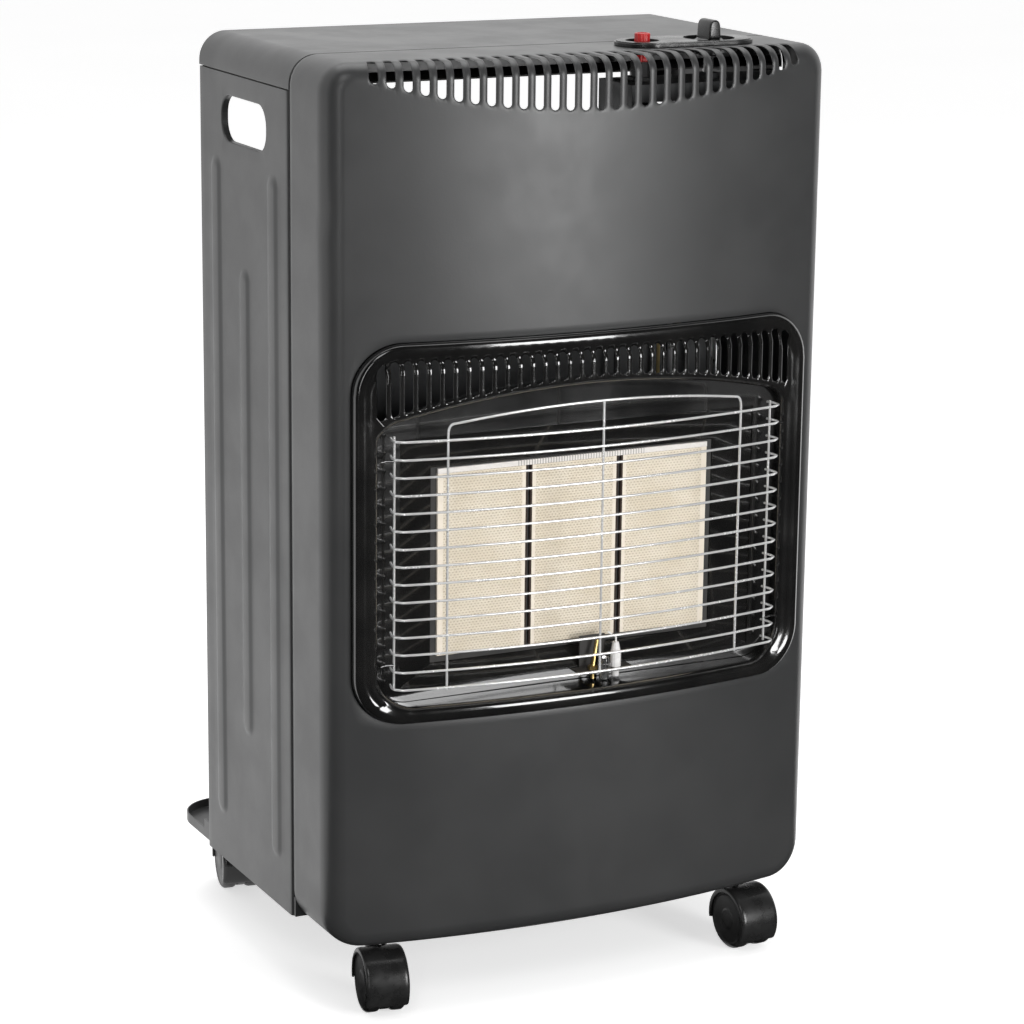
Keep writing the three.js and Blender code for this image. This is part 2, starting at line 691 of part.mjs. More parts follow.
// Reflector: a flange round the arched opening, flared in to the box that holds the plaques
function burnerHousing() {
  const funnel = (grow) => {
    const rim = { w: plenumHalf + reflectorFlare, low: mouthBottomZ, high: mouthTopZ };
    const points = [
      [-rim.w - grow, reflectorY, rim.low - grow], [rim.w + grow, reflectorY, rim.low - grow],
      [rim.w + grow, reflectorY, rim.high + grow], [-rim.w - grow, reflectorY, rim.high + grow],
      [-plenumHalf - grow, plenumFrontY, plenumBottomZ - grow],
      [plenumHalf + grow, plenumFrontY, plenumBottomZ - grow],
      [plenumHalf + grow, plenumFrontY, plenumTopZ + grow],
      [-plenumHalf - grow, plenumFrontY, plenumTopZ + grow],
    ];
    const geometry = new THREE.BufferGeometry();
    geometry.setAttribute('position', new THREE.Float32BufferAttribute(points.flat(), 3));
    geometry.setIndex([
      0, 1, 2, 0, 2, 3, 4, 6, 5, 4, 7, 6, 0, 4, 5, 0, 5, 1,
      1, 5, 6, 1, 6, 2, 2, 6, 7, 2, 7, 3, 3, 7, 4, 3, 4, 0,
    ]);
    return toSolid(geometry);
  };
  const flange = plateY(archShape(-seat), reflectorY - sheet, reflectorY, 5);
  const box = block(-plenumHalf - sheet, plenumHalf + sheet, plenumFrontY, plenumBackY,
    plenumBottomZ - sheet, plenumTopZ + sheet);
  const cavity = block(-plenumHalf, plenumHalf, plenumFrontY - 1, plenumBackY - sheet,
    plenumBottomZ, plenumTopZ);
  const mouth = block(-plenumHalf - reflectorFlare, plenumHalf + reflectorFlare,
    reflectorY - 5, reflectorY + 0.01, mouthBottomZ, mouthTopZ);
  const inlets = burnerXs.map((x) => rod('z', x, venturiY, plenumBottomZ - 5, venturiRadius - sheet, 10, 8));
  const leadHoles = [-1, 0, 1].map((k) =>
    rod('y', pilotX + k * pilotSpacing, reflectorY - 5, leadZ, pilotPipeRadius + 0.6, 10, 8));
  return join([funnel(sheet), flange, box])
    .subtract(funnel(0)).subtract(cavity).subtract(mouth).subtract(join([...inlets, ...leadHoles]));
}

// Ceramic plaque: a rebated edge lets the frame grip it
function plaque(x) {
  const w = plaqueWidth / 2;
  const step = 2;
  const face = block(x - w, x + w, plaqueFaceY, plaqueBackY - 4, plaqueBottomZ, plaqueTopZ);
  const back = block(x - w + step, x + w - step, plaqueBackY - 5, plaqueBackY,
    plaqueBottomZ + step, plaqueTopZ - step);
  return face.add(back);
}

// Clamp frame: fills the rim round the plaques and the two gaps between them
function plaqueFrame() {
  const outer = block(-plenumHalf + seat, plenumHalf - seat, plaqueFaceY + 2, plaqueBackY + sheet,
    plenumBottomZ + seat, plenumTopZ - seat);
  const pockets = burnerXs.map((x) => {
    const w = plaqueWidth / 2;
    const front = block(x - w - seat, x + w + seat, plaqueFaceY - 5, plaqueBackY - 4 + seat,
      plaqueBottomZ - seat, plaqueTopZ + seat);
    const rear = block(x - w + 2 - seat, x + w - 2 + seat, plaqueFaceY, plaqueBackY + 5,
      plaqueBottomZ + 2 - seat, plaqueTopZ - 2 + seat);
    return front.add(rear);
  });
  return outer.subtract(join(pockets));
}

// Fibre gasket strip along the top edge of the plaques
function topGasket() {
  return block(-burnerHalf, burnerHalf, plaqueFaceY - 0.6, plaqueFaceY + 2 - seat, plaqueTopZ + seat,
    plaqueTopZ + seat + gasketHeight);
}

function venturi(x) {
  const z = plenumBottomZ - sheet - seat;
  const profile = [
    [0, z - venturiLength], [venturiRadius, z - venturiLength], [venturiRadius - 3, z - venturiLength + 8],
    [venturiRadius - 3, z - 6], [venturiRadius, z - sheet], [venturiRadius, z], [0, z],
  ];
  const bore = rod('z', 0, 0, z - venturiLength - 1, venturiRadius - 3 - sheet, venturiLength + 2, 8);
  return revolve(profile, 12).subtract(bore).translate([x, venturiY, 0]);
}

function injectorRail() {
  const length = 2 * plaqueStep + 40;
  const tube = rod('x', -length / 2, venturiY, railZ, railRadius, length, 12);
  const reach = plenumBottomZ - sheet - seat - venturiLength - seat - railZ;
  const nozzles = burnerXs.map((x) => rod('z', x, venturiY, railZ, 3.5, reach, 8)
    .add(rod('z', x, venturiY, railZ, 2 * railRadius - 3, reach - 3, 6)));
  // The rail hangs from the shield on two straps
  const straps = mirrored((side) => {
    const [x0, x1] = across(side, plaqueStep / 2 - 6, plaqueStep / 2 + 6);
    return block(x0, x1, venturiY, sheet, railZ - sheet, railZ + sheet);
  });
  return join([tube, ...nozzles, straps]);
}

// A wire through points, mitred at each bend so that it keeps its section
function wire(points, radius, sides = 4, upright = new THREE.Vector3(0.02, 1, 0.013)) {
  const n = points.length;
  const rim = points.flatMap((p, k) => {
    const before = points[Math.max(k - 1, 0)];
    const after = points[Math.min(k + 1, n - 1)];
    const along = after.clone().sub(p).normalize().add(p.clone().sub(before).normalize()).normalize();
    const u = new THREE.Vector3().crossVectors(along, upright).normalize();
    const v = new THREE.Vector3().crossVectors(along, u).normalize();
    return Array.from({ length: sides }, (_, j) => {
      const turn = ((j + 0.5) / sides) * 2 * Math.PI;
      return p.clone().addScaledVector(u, radius * Math.cos(turn)).addScaledVector(v, radius * Math.sin(turn));
    });
  });
  const faces = [];
  for (let k = 0; k + 1 < n; k += 1) {
    for (let j = 0; j < sides; j += 1) {
      const a = k * sides + j;
      const b = k * sides + ((j + 1) % sides);
      faces.push(a, b, b + sides, a, b + sides, a + sides);
    }
  }
  for (let j = 1; j + 1 < sides; j += 1) {
    faces.push(0, j + 1, j);
    faces.push((n - 1) * sides, (n - 1) * sides + j, (n - 1) * sides + j + 1);
  }
  const geometry = new THREE.BufferGeometry();
  geometry.setAttribute('position', new THREE.Float32BufferAttribute(rim.flatMap((q) => q.toArray()), 3));
  geometry.setIndex(faces);
  return toSolid(geometry);
}

// The bow of the guard at x, and its wires there, which run straight between their bends
const guardArcY = (x) => -guardReach + guardBow * (x / guardHalf) ** 2;
const guardStations = Array.from({ length: guardBends + 1 }, (_, k) => guardHalf * ((2 * k) / guardBends - 1));
const guardLevels = Array.from({ length: guardWireCount }, (_, k) => guardBottomZ + k * guardPitch);
const guardTopZ = guardLevels[guardWireCount - 1];

function guardWireY(x) {
  const right = guardStations.findIndex((u) => u > x);
  const [u, v] = [guardStations[right - 1], guardStations[right]];
  return guardArcY(u) + ((x - u) / (v - u)) * (guardArcY(v) - guardArcY(u));
}

const point = (x, y, z) => new THREE.Vector3(x, y, z);
const flatWire = (points, radius = wireRadius) => wire(points, radius, 4, point(0, 0, 1));
const uprightWire = (points) => wire(points, wireRadius, 4, point(0, 1, 0));

// Guard: bowed wires whose ends are turned back and tied by a short post with two hooks on each side
function wireGuard() {
  const endY = guardArcY(guardHalf);
  const turned = (side, z) => [
    point(side * guardHalf, endY + guardReturn, z),
    point(side * (guardHalf + guardBulge), endY + guardReturn / 3, z),
  ];
  const level = (z) =>
    flatWire([...turned(-1, z), ...guardStations.map((x) => point(x, guardArcY(x), z)),
      ...turned(1, z).reverse()]);
  const ends = mirrored((side) => {
    const x = side * (guardHalf - 0.2);
    const y = endY + guardReturn * 0.7;
    const low = guardLevels[0] - wireRadius;
    const high = guardTopZ + wireRadius;
    const hooks = [low + guardPitch + 5, high - guardPitch - 5].map((z) =>
      flatWire([point(x, y, z), point(side * (openingHalf - seat), y, z)], 0.8 * wireRadius));
    return join([uprightWire([point(x, y, low), point(x, y, high)]), ...hooks]);
  });
  return join([...guardLevels.map(level), ends]);
}

// Upright wires behind the level ones: an arch that stands above them, and a post up its middle
function guardFrame() {
  const crownZ = guardTopZ + guardCrown;
  const footZ = guardBottomZ - wireRadius;
  const behind = (x) => guardWireY(x) + 2 * wireRadius * Math.SQRT1_2 + seat;
  const crown = [-0.96, -0.5, 0, 0.5, 0.96].map((share) => {
    const x = share * guardPostX;
    return point(x, behind(x), crownZ - guardCrownDrop * share ** 2);
  });
  const leg = (x) => [point(x, behind(x), footZ), point(x, behind(x), crownZ - 1.5 * guardCrownDrop)];
  const arch = uprightWire([...leg(-guardPostX), ...crown, ...leg(guardPostX).reverse()]);
  const middlePost = uprightWire([point(0, behind(0), footZ), point(0, behind(0), crownZ)]);
  return arch.add(middlePost);
}

// ---- Controls, gas way and pilot ----

function controlBezel() {
  const r = bezelWidth / 2;
  const z = topZ + seat;
  const top = z + bezelHeight;
  const outline = (inset) => roundRect(bezelX - bezelLength / 2 + inset, bezelX + bezelLength / 2 - inset,
    bezelY - r + inset, bezelY + r - inset, r - 0.01 - inset);
  const plate = plateZ(outline(0), z, top - 1, 4).add(plateZ(outline(1.2), top - 2, top, 4));
  const collars = [[knobX, knobHoleRadius], [buttonX, buttonHoleRadius]].map(([x, hole]) =>
    rod('z', x, bezelY, topZ - 6, hole + 2 * sheet, 8, 16));
  const holes = [[knobX, knobHoleRadius], [buttonX, buttonHoleRadius]].map(([x, hole]) =>
    rod('z', x, bezelY, topZ - 10, hole, 30, 16));
  return join([plate, ...collars]).subtract(join(holes));
}

function controlKnob() {
  const hub = rod('z', knobX, bezelY, knobBaseZ, knobHubRadius, knobFinZ - knobBaseZ + 1, 16);
  const w = knobWidth / 2;
  const outline = roundRect(bezelY - knobLength / 2, bezelY + knobLength / 2, knobFinZ,
    knobFinZ + knobHeight, 0.5, 6);
  const fin = plateX(outline, knobX - w, knobX + w, 4);
  const boreDepth = spindleTopZ + knobTravel + 2 - knobBaseZ;
  const bore = rod('z', knobX, bezelY, knobBaseZ - 1, spindleRadius + seat, boreDepth, 16);
  return hub.add(fin).subtract(bore);
}

// Stepped spindle with a flat on its upper half
function valveSpindle() {
  const flat = block(knobX + spindleRadius - 1, knobX + spindleRadius + 2, bezelY - 6, bezelY + 6,
    knobBaseZ - knobTravel - 1, spindleTopZ + 1);
  return rod('z', knobX, bezelY, spindleBaseZ, spindleRadius, spindleTopZ - spindleBaseZ, 12).subtract(flat);
}

function gasValve() {
  const w = valveWidth / 2;
  const z = valveTopZ - valveHeight;
  const body = plateZ(roundRect(knobX - w, knobX + w, bezelY - w, bezelY + w, 5), z + 8, valveTopZ, 3);
  const cap = rod('z', knobX, bezelY, z, 9, 9, 16);
  const neck = rod('z', knobX, bezelY, valveTopZ - 1, valveNeckRadius, spindleBaseZ - seat - valveTopZ + 1, 16);
  const outlet = rod('z', knobX + outletOffset, bezelY + outletOffset, z + 2, 6, 8, 6);
  const inlet = rod('y', knobX, bezelY + w - 1, inletZ, 7, 9, 6);
  const pilotOutlet = rod('z', knobX - outletOffset, bezelY + outletOffset, z + 3, 4.5, 8, 6);
  return join([body, cap, neck, outlet, inlet, pilotOutlet]);
}

function controlBracket() {
  const x0 = buttonX - 22;
  const x1 = half - frontReturn - seat - 1;
  const y0 = bezelY - 26;
  const y1 = -reveal - sheet - 2;
  const shelf = block(x0, x1, y0, y1, bracketZ, bracketZ + sheet);
  const leftFold = block(x0, x0 + sheet, y0, y1, bracketZ - 34, bracketZ + sheet);
  const frontFold = block(x0, x1, y0, y0 + sheet, bracketZ - 12, bracketZ + sheet);
  const wallFold = block(x1 - sheet, x1, y0, -seat, bracketZ - 40, bracketZ + sheet);
  const valveHole = rod('z', knobX, bezelY, bracketZ - 5, valveNeckRadius + 2 * seat, 12, 16);
  const igniterHole = rod('z', buttonX, bezelY, bracketZ - 5, igniterRadius + 2 * seat, 12, 16);
  return join([shelf, leftFold, frontFold, wallFold]).subtract(join([valveHole, igniterHole]));
}

function igniterBody() {
  const flange = rod('z', buttonX, bezelY, bracketZ + sheet + seat, igniterRadius + 3, 3, 12);
  const barrel = rod('z', buttonX, bezelY, bracketZ - igniterDrop, igniterRadius,
    igniterTopZ - bracketZ + igniterDrop, 12);
  const terminal = rod('z', buttonX, bezelY, igniterFootZ, 3, igniterTerminal + 1, 8);
  const well = rod('z', buttonX, bezelY, igniterTopZ - buttonTravel - 6, buttonRadius + seat, 20, 16);
  return join([barrel, flange, terminal]).subtract(well);
}

// Push button with a splined rim
function igniterButton() {
  const ribs = 10;
  const rim = Array.from({ length: 2 * ribs }, (_, k) => {
    const turn = (k / ribs) * Math.PI;
    const r = buttonRadius - (k % 2) * 0.9;
    return [buttonX + r * Math.cos(turn), bezelY + r * Math.sin(turn)];
  });
  const z = topZ + buttonHeight;
  const cap = rod('z', buttonX, bezelY, z - 1, buttonRadius - 1.4, 2, 16);
  return plateZ(polygon(rim), igniterTopZ - 4, z).add(cap);
}

function pilotBracket() {
  const y1 = reflectorY - sheet - seat;
  const z = pilotShelfZ;
  const shelf = block(pilotX - 24, pilotX + 24, y1 - 17, y1, z, z + sheet);
  const back = block(pilotX - 17, pilotX + 5, y1 - sheet, y1, z, plenumBottomZ + 10);
  const holes = [[-pilotSpacing, 2.4], [0, 4.6], [pilotSpacing, 3.6]].map(([dx, r]) =>
    rod('z', pilotX + dx, pilotY, z - 5, r, 12, 12));
  return shelf.add(back).subtract(join(holes));
}

function pilotBurner() {
  const z = pilotShelfZ;
  return join([
    rod('z', pilotX, pilotY, z - 7, 4, 17, 10),
    rod('z', pilotX, pilotY, z + sheet + seat, 5.4, 4, 6),
    rod('y', pilotX, pilotY, z + 9, 2.4, 7, 8),
  ]);
}

function sparkElectrode() {
  const z = pilotShelfZ;
  const profile = [[0, -6], [3, -6], [3, 1.5], [4.2, 1.5], [4.2, 12], [3.2, 17], [2.4, 21], [0, 21]];
  return revolve(profile, 12).translate([pilotX + pilotSpacing, pilotY, z + seat])
    .add(wire([[0, 0, 20], [0, 0, 25], [-5, 4, 29]].map(([x, y, h]) =>
      new THREE.Vector3(pilotX + pilotSpacing + x, pilotY + y, z + h)), 0.9));
}

function thermocouple() {
  const x = pilotX - pilotSpacing;
  return wire([[0, 0, -6], [0, 0, 3], [5, 3, 24]].map(([dx, dy, h]) =>
    new THREE.Vector3(x + dx, pilotY + dy, pilotShelfZ + h)), 1.5, 8)
    .add(rod('z', x, pilotY, pilotShelfZ + sheet + seat, 3.8, 3, 6));
}

// A tube along straight runs with rounded bends
function tube(points, radius, bend, sides = 8) {
  const at = points.map((p) => new THREE.Vector3(...p));
  const line = [at[0]];
  for (let k = 1; k + 1 < at.length; k += 1) {
    const back = at[k - 1].clone().sub(at[k]).normalize().multiplyScalar(bend);
    const ahead = at[k + 1].clone().sub(at[k]).normalize().multiplyScalar(bend);
    const curve = new THREE.QuadraticBezierCurve3(at[k].clone().add(back), at[k], at[k].clone().add(ahead));
    line.push(...curve.getPoints(2));
  }
  line.push(at[at.length - 1]);
  return wire(line, radius, sides);
}

const burnerPipe = () => {
  const x = knobX + outletOffset;
  const y = bezelY + outletOffset;
  const clearX = plenumHalf + sheet + 16;
  return tube([
    [x, y, valveTopZ - valveHeight + 2 - seat], [x, y, pipeDropZ], [clearX, venturiY, pipeTurnZ],
    [clearX, venturiY, railZ], [plaqueStep + 20 + seat, venturiY, railZ],
  ], pipeRadius, 14);
};

// The pilot pipe and the two leads hang behind the burner box, each in its own plane,
// and come forward below it to the pilot group
const pilotPipe = () => {
  const x = knobX - outletOffset;
  const y = bezelY + outletOffset;
  return tube([
    [x, y, valveTopZ - valveHeight + 3 - seat], [x, y, pipeDropZ - 10], [x, pilotPipeY, pipeTurnZ - 10],
    [x, pilotPipeY, leadTurnZ + 20], [pilotX, pilotPipeY, leadTurnZ + 20], [pilotX, pilotPipeY, leadZ],
    [pilotX, pilotY + 4 + seat, leadZ],
  ], pilotPipeRadius, 6, 6);
};

const ignitionLead = () => {
  const x = pilotX + pilotSpacing;
  return tube([
    [buttonX, bezelY, igniterFootZ - seat], [buttonX, bezelY, pipeDropZ],
    [buttonX - 6, ignitionLeadY, pipeTurnZ],
    [buttonX - 6, ignitionLeadY, leadTurnZ], [x, ignitionLeadY, leadTurnZ], [x, ignitionLeadY, leadZ],
    [x, pilotY + 3 + seat, leadZ],
  ], leadRadius, 4, 6);
};

const thermocoupleLead = () => {
  const dropX = pilotX - 4.5;
  const x = pilotX - pilotSpacing;
  return tube([
    [knobX, bezelY, valveTopZ - valveHeight - seat], [knobX, bezelY, coupleDropZ],
    [knobX - 24, coupleLeadY, coupleTurnZ], [knobX - 24, coupleLeadY, leadTurnZ + 10],
    [dropX, coupleLeadY, leadTurnZ + 10], [dropX, coupleLeadY, leadZ],
    [dropX, reflectorY + 16.2, leadZ], [x, reflectorY + 11.2, leadZ], [x, pilotY + leadRadius + seat, leadZ],
  ], leadRadius, 2, 6);
};

const inletPipe = () => tube([
  [knobX, bezelY + valveWidth / 2 + 8 + seat, inletZ], [knobX, 30, inletZ], [knobX, 60, inletZ],
], pipeRadius, 8, 8);

function hoseTail() {
  const barb = (z) => [[5, z], [6.5, z + 2], [5, z + 6]];
  const profile = [[0, 0], [8, 0], [8, 10], [5, 10], ...barb(11), ...barb(18), ...barb(25), [4.5, 34], [0, 34]];
  return revolve(profile, 10).rotate([-90, 0, 0]).translate([knobX, 60 + seat, inletZ]);
}

// ---- Castors, each in its own frame: the swivel axis is x = y = 0 and the floor is z = 0 ----

// Plate and stem, fixed under the tray
function castorStem() {
  const w = castorPlate / 2;
  return plateZ(roundRect(-w, w, -w, w, 5), castorTopZ - 2.5, castorTopZ, 3)
    .add(rod('z', 0, 0, castorTopZ - 4, neckRadius + 2, 4, 12))
    .add(rod('z', 0, 0, hoodTopZ - 12, stemRadius, castorTopZ - hoodTopZ + 10, 8));
}

// Hood: a shroud over both wheels, a web between them and a neck for the stem
function castorHood() {
  const w = hoodWidth / 2;
  const shroud = rod('x', -w, -trail, wheelRadius, hoodRadius, hoodWidth, castorSides)
    .subtract(rod('x', -w - 1, -trail, wheelRadius, hoodRadius - hoodWall, hoodWidth + 2, castorSides));
  const below = block(-w - 1, w + 1, -trail - hoodRadius - 5, -trail + hoodRadius + 5, -5, wheelRadius - 15);
  const behind = block(-w - 1, w + 1, -trail, -trail + hoodRadius + 5, -5, wheelRadius - 6);
  const web = rod('x', -webHalf, -trail, wheelRadius, hoodRadius - hoodWall / 2, 2 * webHalf, castorSides)
    .subtract(block(-w, w, -trail - hoodRadius, -trail + hoodRadius, -5, wheelRadius - 8));
  const neckTop = castorTopZ - 4 - seat;
  const neck = rod('z', 0, 0, hoodTopZ - 16, neckRadius, neckTop - hoodTopZ + 16, 12);
  const bore = rod('z', 0, 0, hoodTopZ - 12 - seat, stemRadius + seat, 40, 16);
  const axleBore = rod('x', -w, -trail, wheelRadius, axleRadius + seat, hoodWidth, 8);
  const wheelRoom = [-1, 1].map((side) => {
    const [x0] = across(side, webHalf, w + 5);
    return rod('x', x0, -trail, wheelRadius, hoodRadius - hoodWall, w + 5 - webHalf, castorSides);
  });
  return join([shroud.subtract(below.add(behind)), web, neck])
    .subtract(join([bore, axleBore, ...wheelRoom]));
}

const castorAxle = () => rod('x', -axleReach, -trail, wheelRadius, axleRadius, 2 * axleReach, 8);

// One of the two wheels: a dished disc with a rolled tread, bored for the axle from the inside
function castorWheel(side) {
  const w = wheelWidth / 2;
  const r = wheelRadius;
  const profile = [[0, -w], [r, -w], [r, w - 2], [r - 2, w], [0, w]];
  const [boreX] = across(side, wheelSpread - w - 1, wheelSpread + w - 2);
  return revolve(profile, castorSides).rotate([0, side * 90, 0])
    .translate([side * wheelSpread, -trail, wheelRadius])
    .subtract(rod('x', boreX, -trail, wheelRadius, axleRadius + 2 * seat, wheelWidth - 1, 8));
}

for (const { name, x, y, swivel } of castorPlaces) {
  const fixed = new THREE.Group();
  fixed.position.set(x, y, 0);
  const turned = new THREE.Group();
  turned.position.set(x, y, 0);
  turned.rotation.z = THREE.MathUtils.degToRad(swivel);
  cabinet.add(fixed, turned);
  place(`castor_stem_${name}`, castorStem(), steel, fixed);
  place(`castor_hood_${name}`, castorHood(), blackPlastic, turned);
  place(`castor_axle_${name}`, castorAxle(), steel, turned);
  place(`castor_wheel_${name}_left`, castorWheel(-1), rubber, turned);
  place(`castor_wheel_${name}_right`, castorWheel(1), rubber, turned);
}

place('front_panel', frontPanel(), charcoal);
place('top_cover', topCover(), charcoal);
place('side_panel_left', sidePanel(-1), charcoal);
place('side_panel_right', sidePanel(1), charcoal);
place('base_tray', baseTray(), charcoal);
place('rear_cover', rearCover(), sootBlack);
place('heat_shield', heatShield(), galvanised);
place('top_deflector', deflector(), sootBlack);
place('window_trim', windowTrim(), enamel);
place('burner_housing', burnerHousing(), enamel);
place('plaque_left', plaque(burnerXs[0]), ceramic);
place('plaque_centre', plaque(burnerXs[1]), ceramic);
place('plaque_right', plaque(burnerXs[2]), ceramic);
place('plaque_frame', plaqueFrame(), sootBlack);
place('top_gasket', topGasket(), fibre);
burnerXs.forEach((x, k) => place(`mixing_tube_${['left', 'centre', 'right'][k]}`, venturi(x), galvanised));
place('injector_rail', injectorRail(), brass);
place('wire_guard', wireGuard(), chrome);
place('guard_frame', guardFrame(), chrome);
place('control_bracket', controlBracket(), galvanised);
place('control_bezel', controlBezel(), blackPlastic);
place('control_knob', controlKnob(), blackPlastic);
place('valve_spindle', valveSpindle(), steel);
place('gas_valve', gasValve(), galvanised);
place('igniter_body', igniterBody(), blackPlastic);
place('igniter_button', igniterButton(), redPlastic);
place('pilot_bracket', pilotBracket(), sootBlack);
place('pilot_burner', pilotBurner(), brass);
place('spark_electrode', sparkElectrode(), porcelain);
place('thermocouple', thermocouple(), brass);
place('burner_pipe', burnerPipe(), steel);
place('pilot_pipe', pilotPipe(), steel);
place('inlet_pipe', inletPipe(), steel);
place('hose_tail', hoseTail(), brass);
place('ignition_lead', ignitionLead(), rubber);
place('thermocouple_lead', thermocoupleLead(), brass);

export default group;
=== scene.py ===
import json
import math

import bmesh
import bpy
import numpy as np
from mathutils import Matrix, Vector


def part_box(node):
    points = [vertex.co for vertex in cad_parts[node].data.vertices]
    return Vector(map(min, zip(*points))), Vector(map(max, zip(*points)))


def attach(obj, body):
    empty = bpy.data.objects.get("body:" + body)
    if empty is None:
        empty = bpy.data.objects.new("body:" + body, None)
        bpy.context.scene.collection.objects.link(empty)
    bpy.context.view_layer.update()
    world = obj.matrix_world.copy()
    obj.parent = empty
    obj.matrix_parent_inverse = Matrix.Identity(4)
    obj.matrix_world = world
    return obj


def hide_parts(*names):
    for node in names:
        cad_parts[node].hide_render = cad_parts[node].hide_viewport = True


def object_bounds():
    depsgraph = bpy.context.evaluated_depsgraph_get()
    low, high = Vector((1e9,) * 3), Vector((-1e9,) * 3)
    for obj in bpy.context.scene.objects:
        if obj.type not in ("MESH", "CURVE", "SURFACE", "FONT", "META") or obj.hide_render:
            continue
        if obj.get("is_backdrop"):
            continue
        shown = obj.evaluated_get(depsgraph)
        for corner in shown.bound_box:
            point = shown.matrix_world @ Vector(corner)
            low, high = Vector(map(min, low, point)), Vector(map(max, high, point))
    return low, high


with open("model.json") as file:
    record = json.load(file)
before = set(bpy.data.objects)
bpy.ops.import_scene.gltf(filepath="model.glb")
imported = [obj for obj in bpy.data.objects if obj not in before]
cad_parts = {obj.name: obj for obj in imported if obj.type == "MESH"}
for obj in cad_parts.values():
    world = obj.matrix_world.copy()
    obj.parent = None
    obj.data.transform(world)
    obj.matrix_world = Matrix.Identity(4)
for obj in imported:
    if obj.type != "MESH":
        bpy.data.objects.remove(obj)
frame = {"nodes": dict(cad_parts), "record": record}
cadBox = [list(corner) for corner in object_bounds()]
nodes = frame["nodes"]
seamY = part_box("top_cover")[0][1] * 1000
print("stage: frame loaded")

cabinet = {
    "half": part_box("top_cover")[1][0] * 1000,
    "topZ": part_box("top_cover")[1][2] * 1000,
    "seamZ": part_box("side_panel_left")[1][2] * 1000,
    "baseZ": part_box("base_tray")[0][2] * 1000,
    "depth": (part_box("top_cover")[1][1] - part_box("top_cover")[0][1]) * 1000,
    "reach": 93.5,
    "bowRadius": 880,
    "sheet": 1.2,
    "cornerRadius": 22,
}


def bowY(x, proud=0):
    # the face is a shallow parabola across the width, moved forward by proud
    return -cabinet["reach"] - proud + x**2 / (2 * cabinet["bowRadius"])


def smooth(t):
    # cubic ease from 0 to 1
    t = np.clip(t, 0, 1)
    return t * t * (3 - 2 * t)


def mix(a, b, t):
    return a + (b - a) * t


# ---- meshes ----


def gridQuads(rows, cols, keep=None, base=0):
    # the four corners of each cell of a rows by cols grid of points
    index = np.arange(rows * cols).reshape(rows, cols) + base
    quads = np.stack([index[:-1, :-1], index[:-1, 1:], index[1:, 1:], index[1:, :-1]], -1)
    return quads.reshape(-1, 4) if keep is None else quads[keep]


def linked(name, data):
    obj = bpy.data.objects.new(name, data)
    bpy.context.scene.collection.objects.link(obj)
    return obj


def toObject(name, patches, inside, wall=0, bevel=0, sharp=38):
    # joins grid patches, welds their shared borders, points faces away from inside, adds the wall
    verts, faces, base = [], [], 0
    for points, keep in patches:
        rows, cols = points.shape[:2]
        verts.append(points.reshape(-1, 3))
        faces.append(gridQuads(rows, cols, keep, base))
        base += rows * cols
    verts = (np.concatenate(verts) + [0, seamY, 0]) / 1000
    weld = 2e-3
    mesh = bpy.data.meshes.new(name)
    mesh.from_pydata(verts.tolist(), [], np.concatenate(faces).tolist())
    bm = bmesh.new()
    bm.from_mesh(mesh)
    bmesh.ops.remove_doubles(bm, verts=bm.verts, dist=weld / 1000)
    bmesh.ops.dissolve_degenerate(bm, edges=bm.edges, dist=weld / 2000)
    loose = [v for v in bm.verts if not v.link_faces]
    bmesh.ops.delete(bm, geom=loose, context="VERTS")
    bmesh.ops.recalc_face_normals(bm, faces=bm.faces)
    if inside is not None:
        centre = (Vector(inside) + Vector((0, seamY, 0))) / 1000
        facing = sum(f.calc_area() * f.normal.dot(f.calc_center_median() - centre) for f in bm.faces)
        if facing < 0:
            bmesh.ops.reverse_faces(bm, faces=bm.faces)
    bm.to_mesh(mesh)
    bm.free()
    return finishMesh(linked(name, mesh), wall, bevel, sharp)


def finishMesh(obj, wall=0, bevel=0, sharp=38, ease=50, weighted=False):
    # wall thickness and rounded edges; weighted normals keep the large flat faces of a solid flat
    if wall:
        solid = obj.modifiers.new("wall", "SOLIDIFY")
        solid.thickness = wall / 1000
        solid.offset = -1
        solid.use_even_offset = False
    if bevel:
        edge = obj.modifiers.new("edge", "BEVEL")
        edge.width = bevel / 1000
        edge.segments = 2
        edge.limit_method = "ANGLE"
        edge.angle_limit = math.radians(ease)
    if weighted:
        obj.data.shade_smooth()
        normals = obj.modifiers.new("normals", "WEIGHTED_NORMAL")
        normals.mode = "FACE_AREA"
    if wall or bevel:
        graph = bpy.context.evaluated_depsgraph_get()
        graph.update()
        done = bpy.data.meshes.new_from_object(obj.evaluated_get(graph))
        obj.modifiers.clear()
        obj.data = done
    if not weighted:
        obj.data.shade_smooth()
        obj.data.set_sharp_from_angle(angle=math.radians(sharp))
    return obj


def unitRows(w):
    return w / np.maximum(np.linalg.norm(w, axis=1, keepdims=True), 1e-9)


def ringNormals(loop):
    # outward unit normals in the plane of a closed loop of (u, v) points that runs clockwise
    ahead = np.roll(loop, -1, 0) - loop
    behind = loop - np.roll(loop, 1, 0)
    along = unitRows(unitRows(ahead) + unitRows(behind))
    return np.stack([-along[:, 1], along[:, 0]], -1)


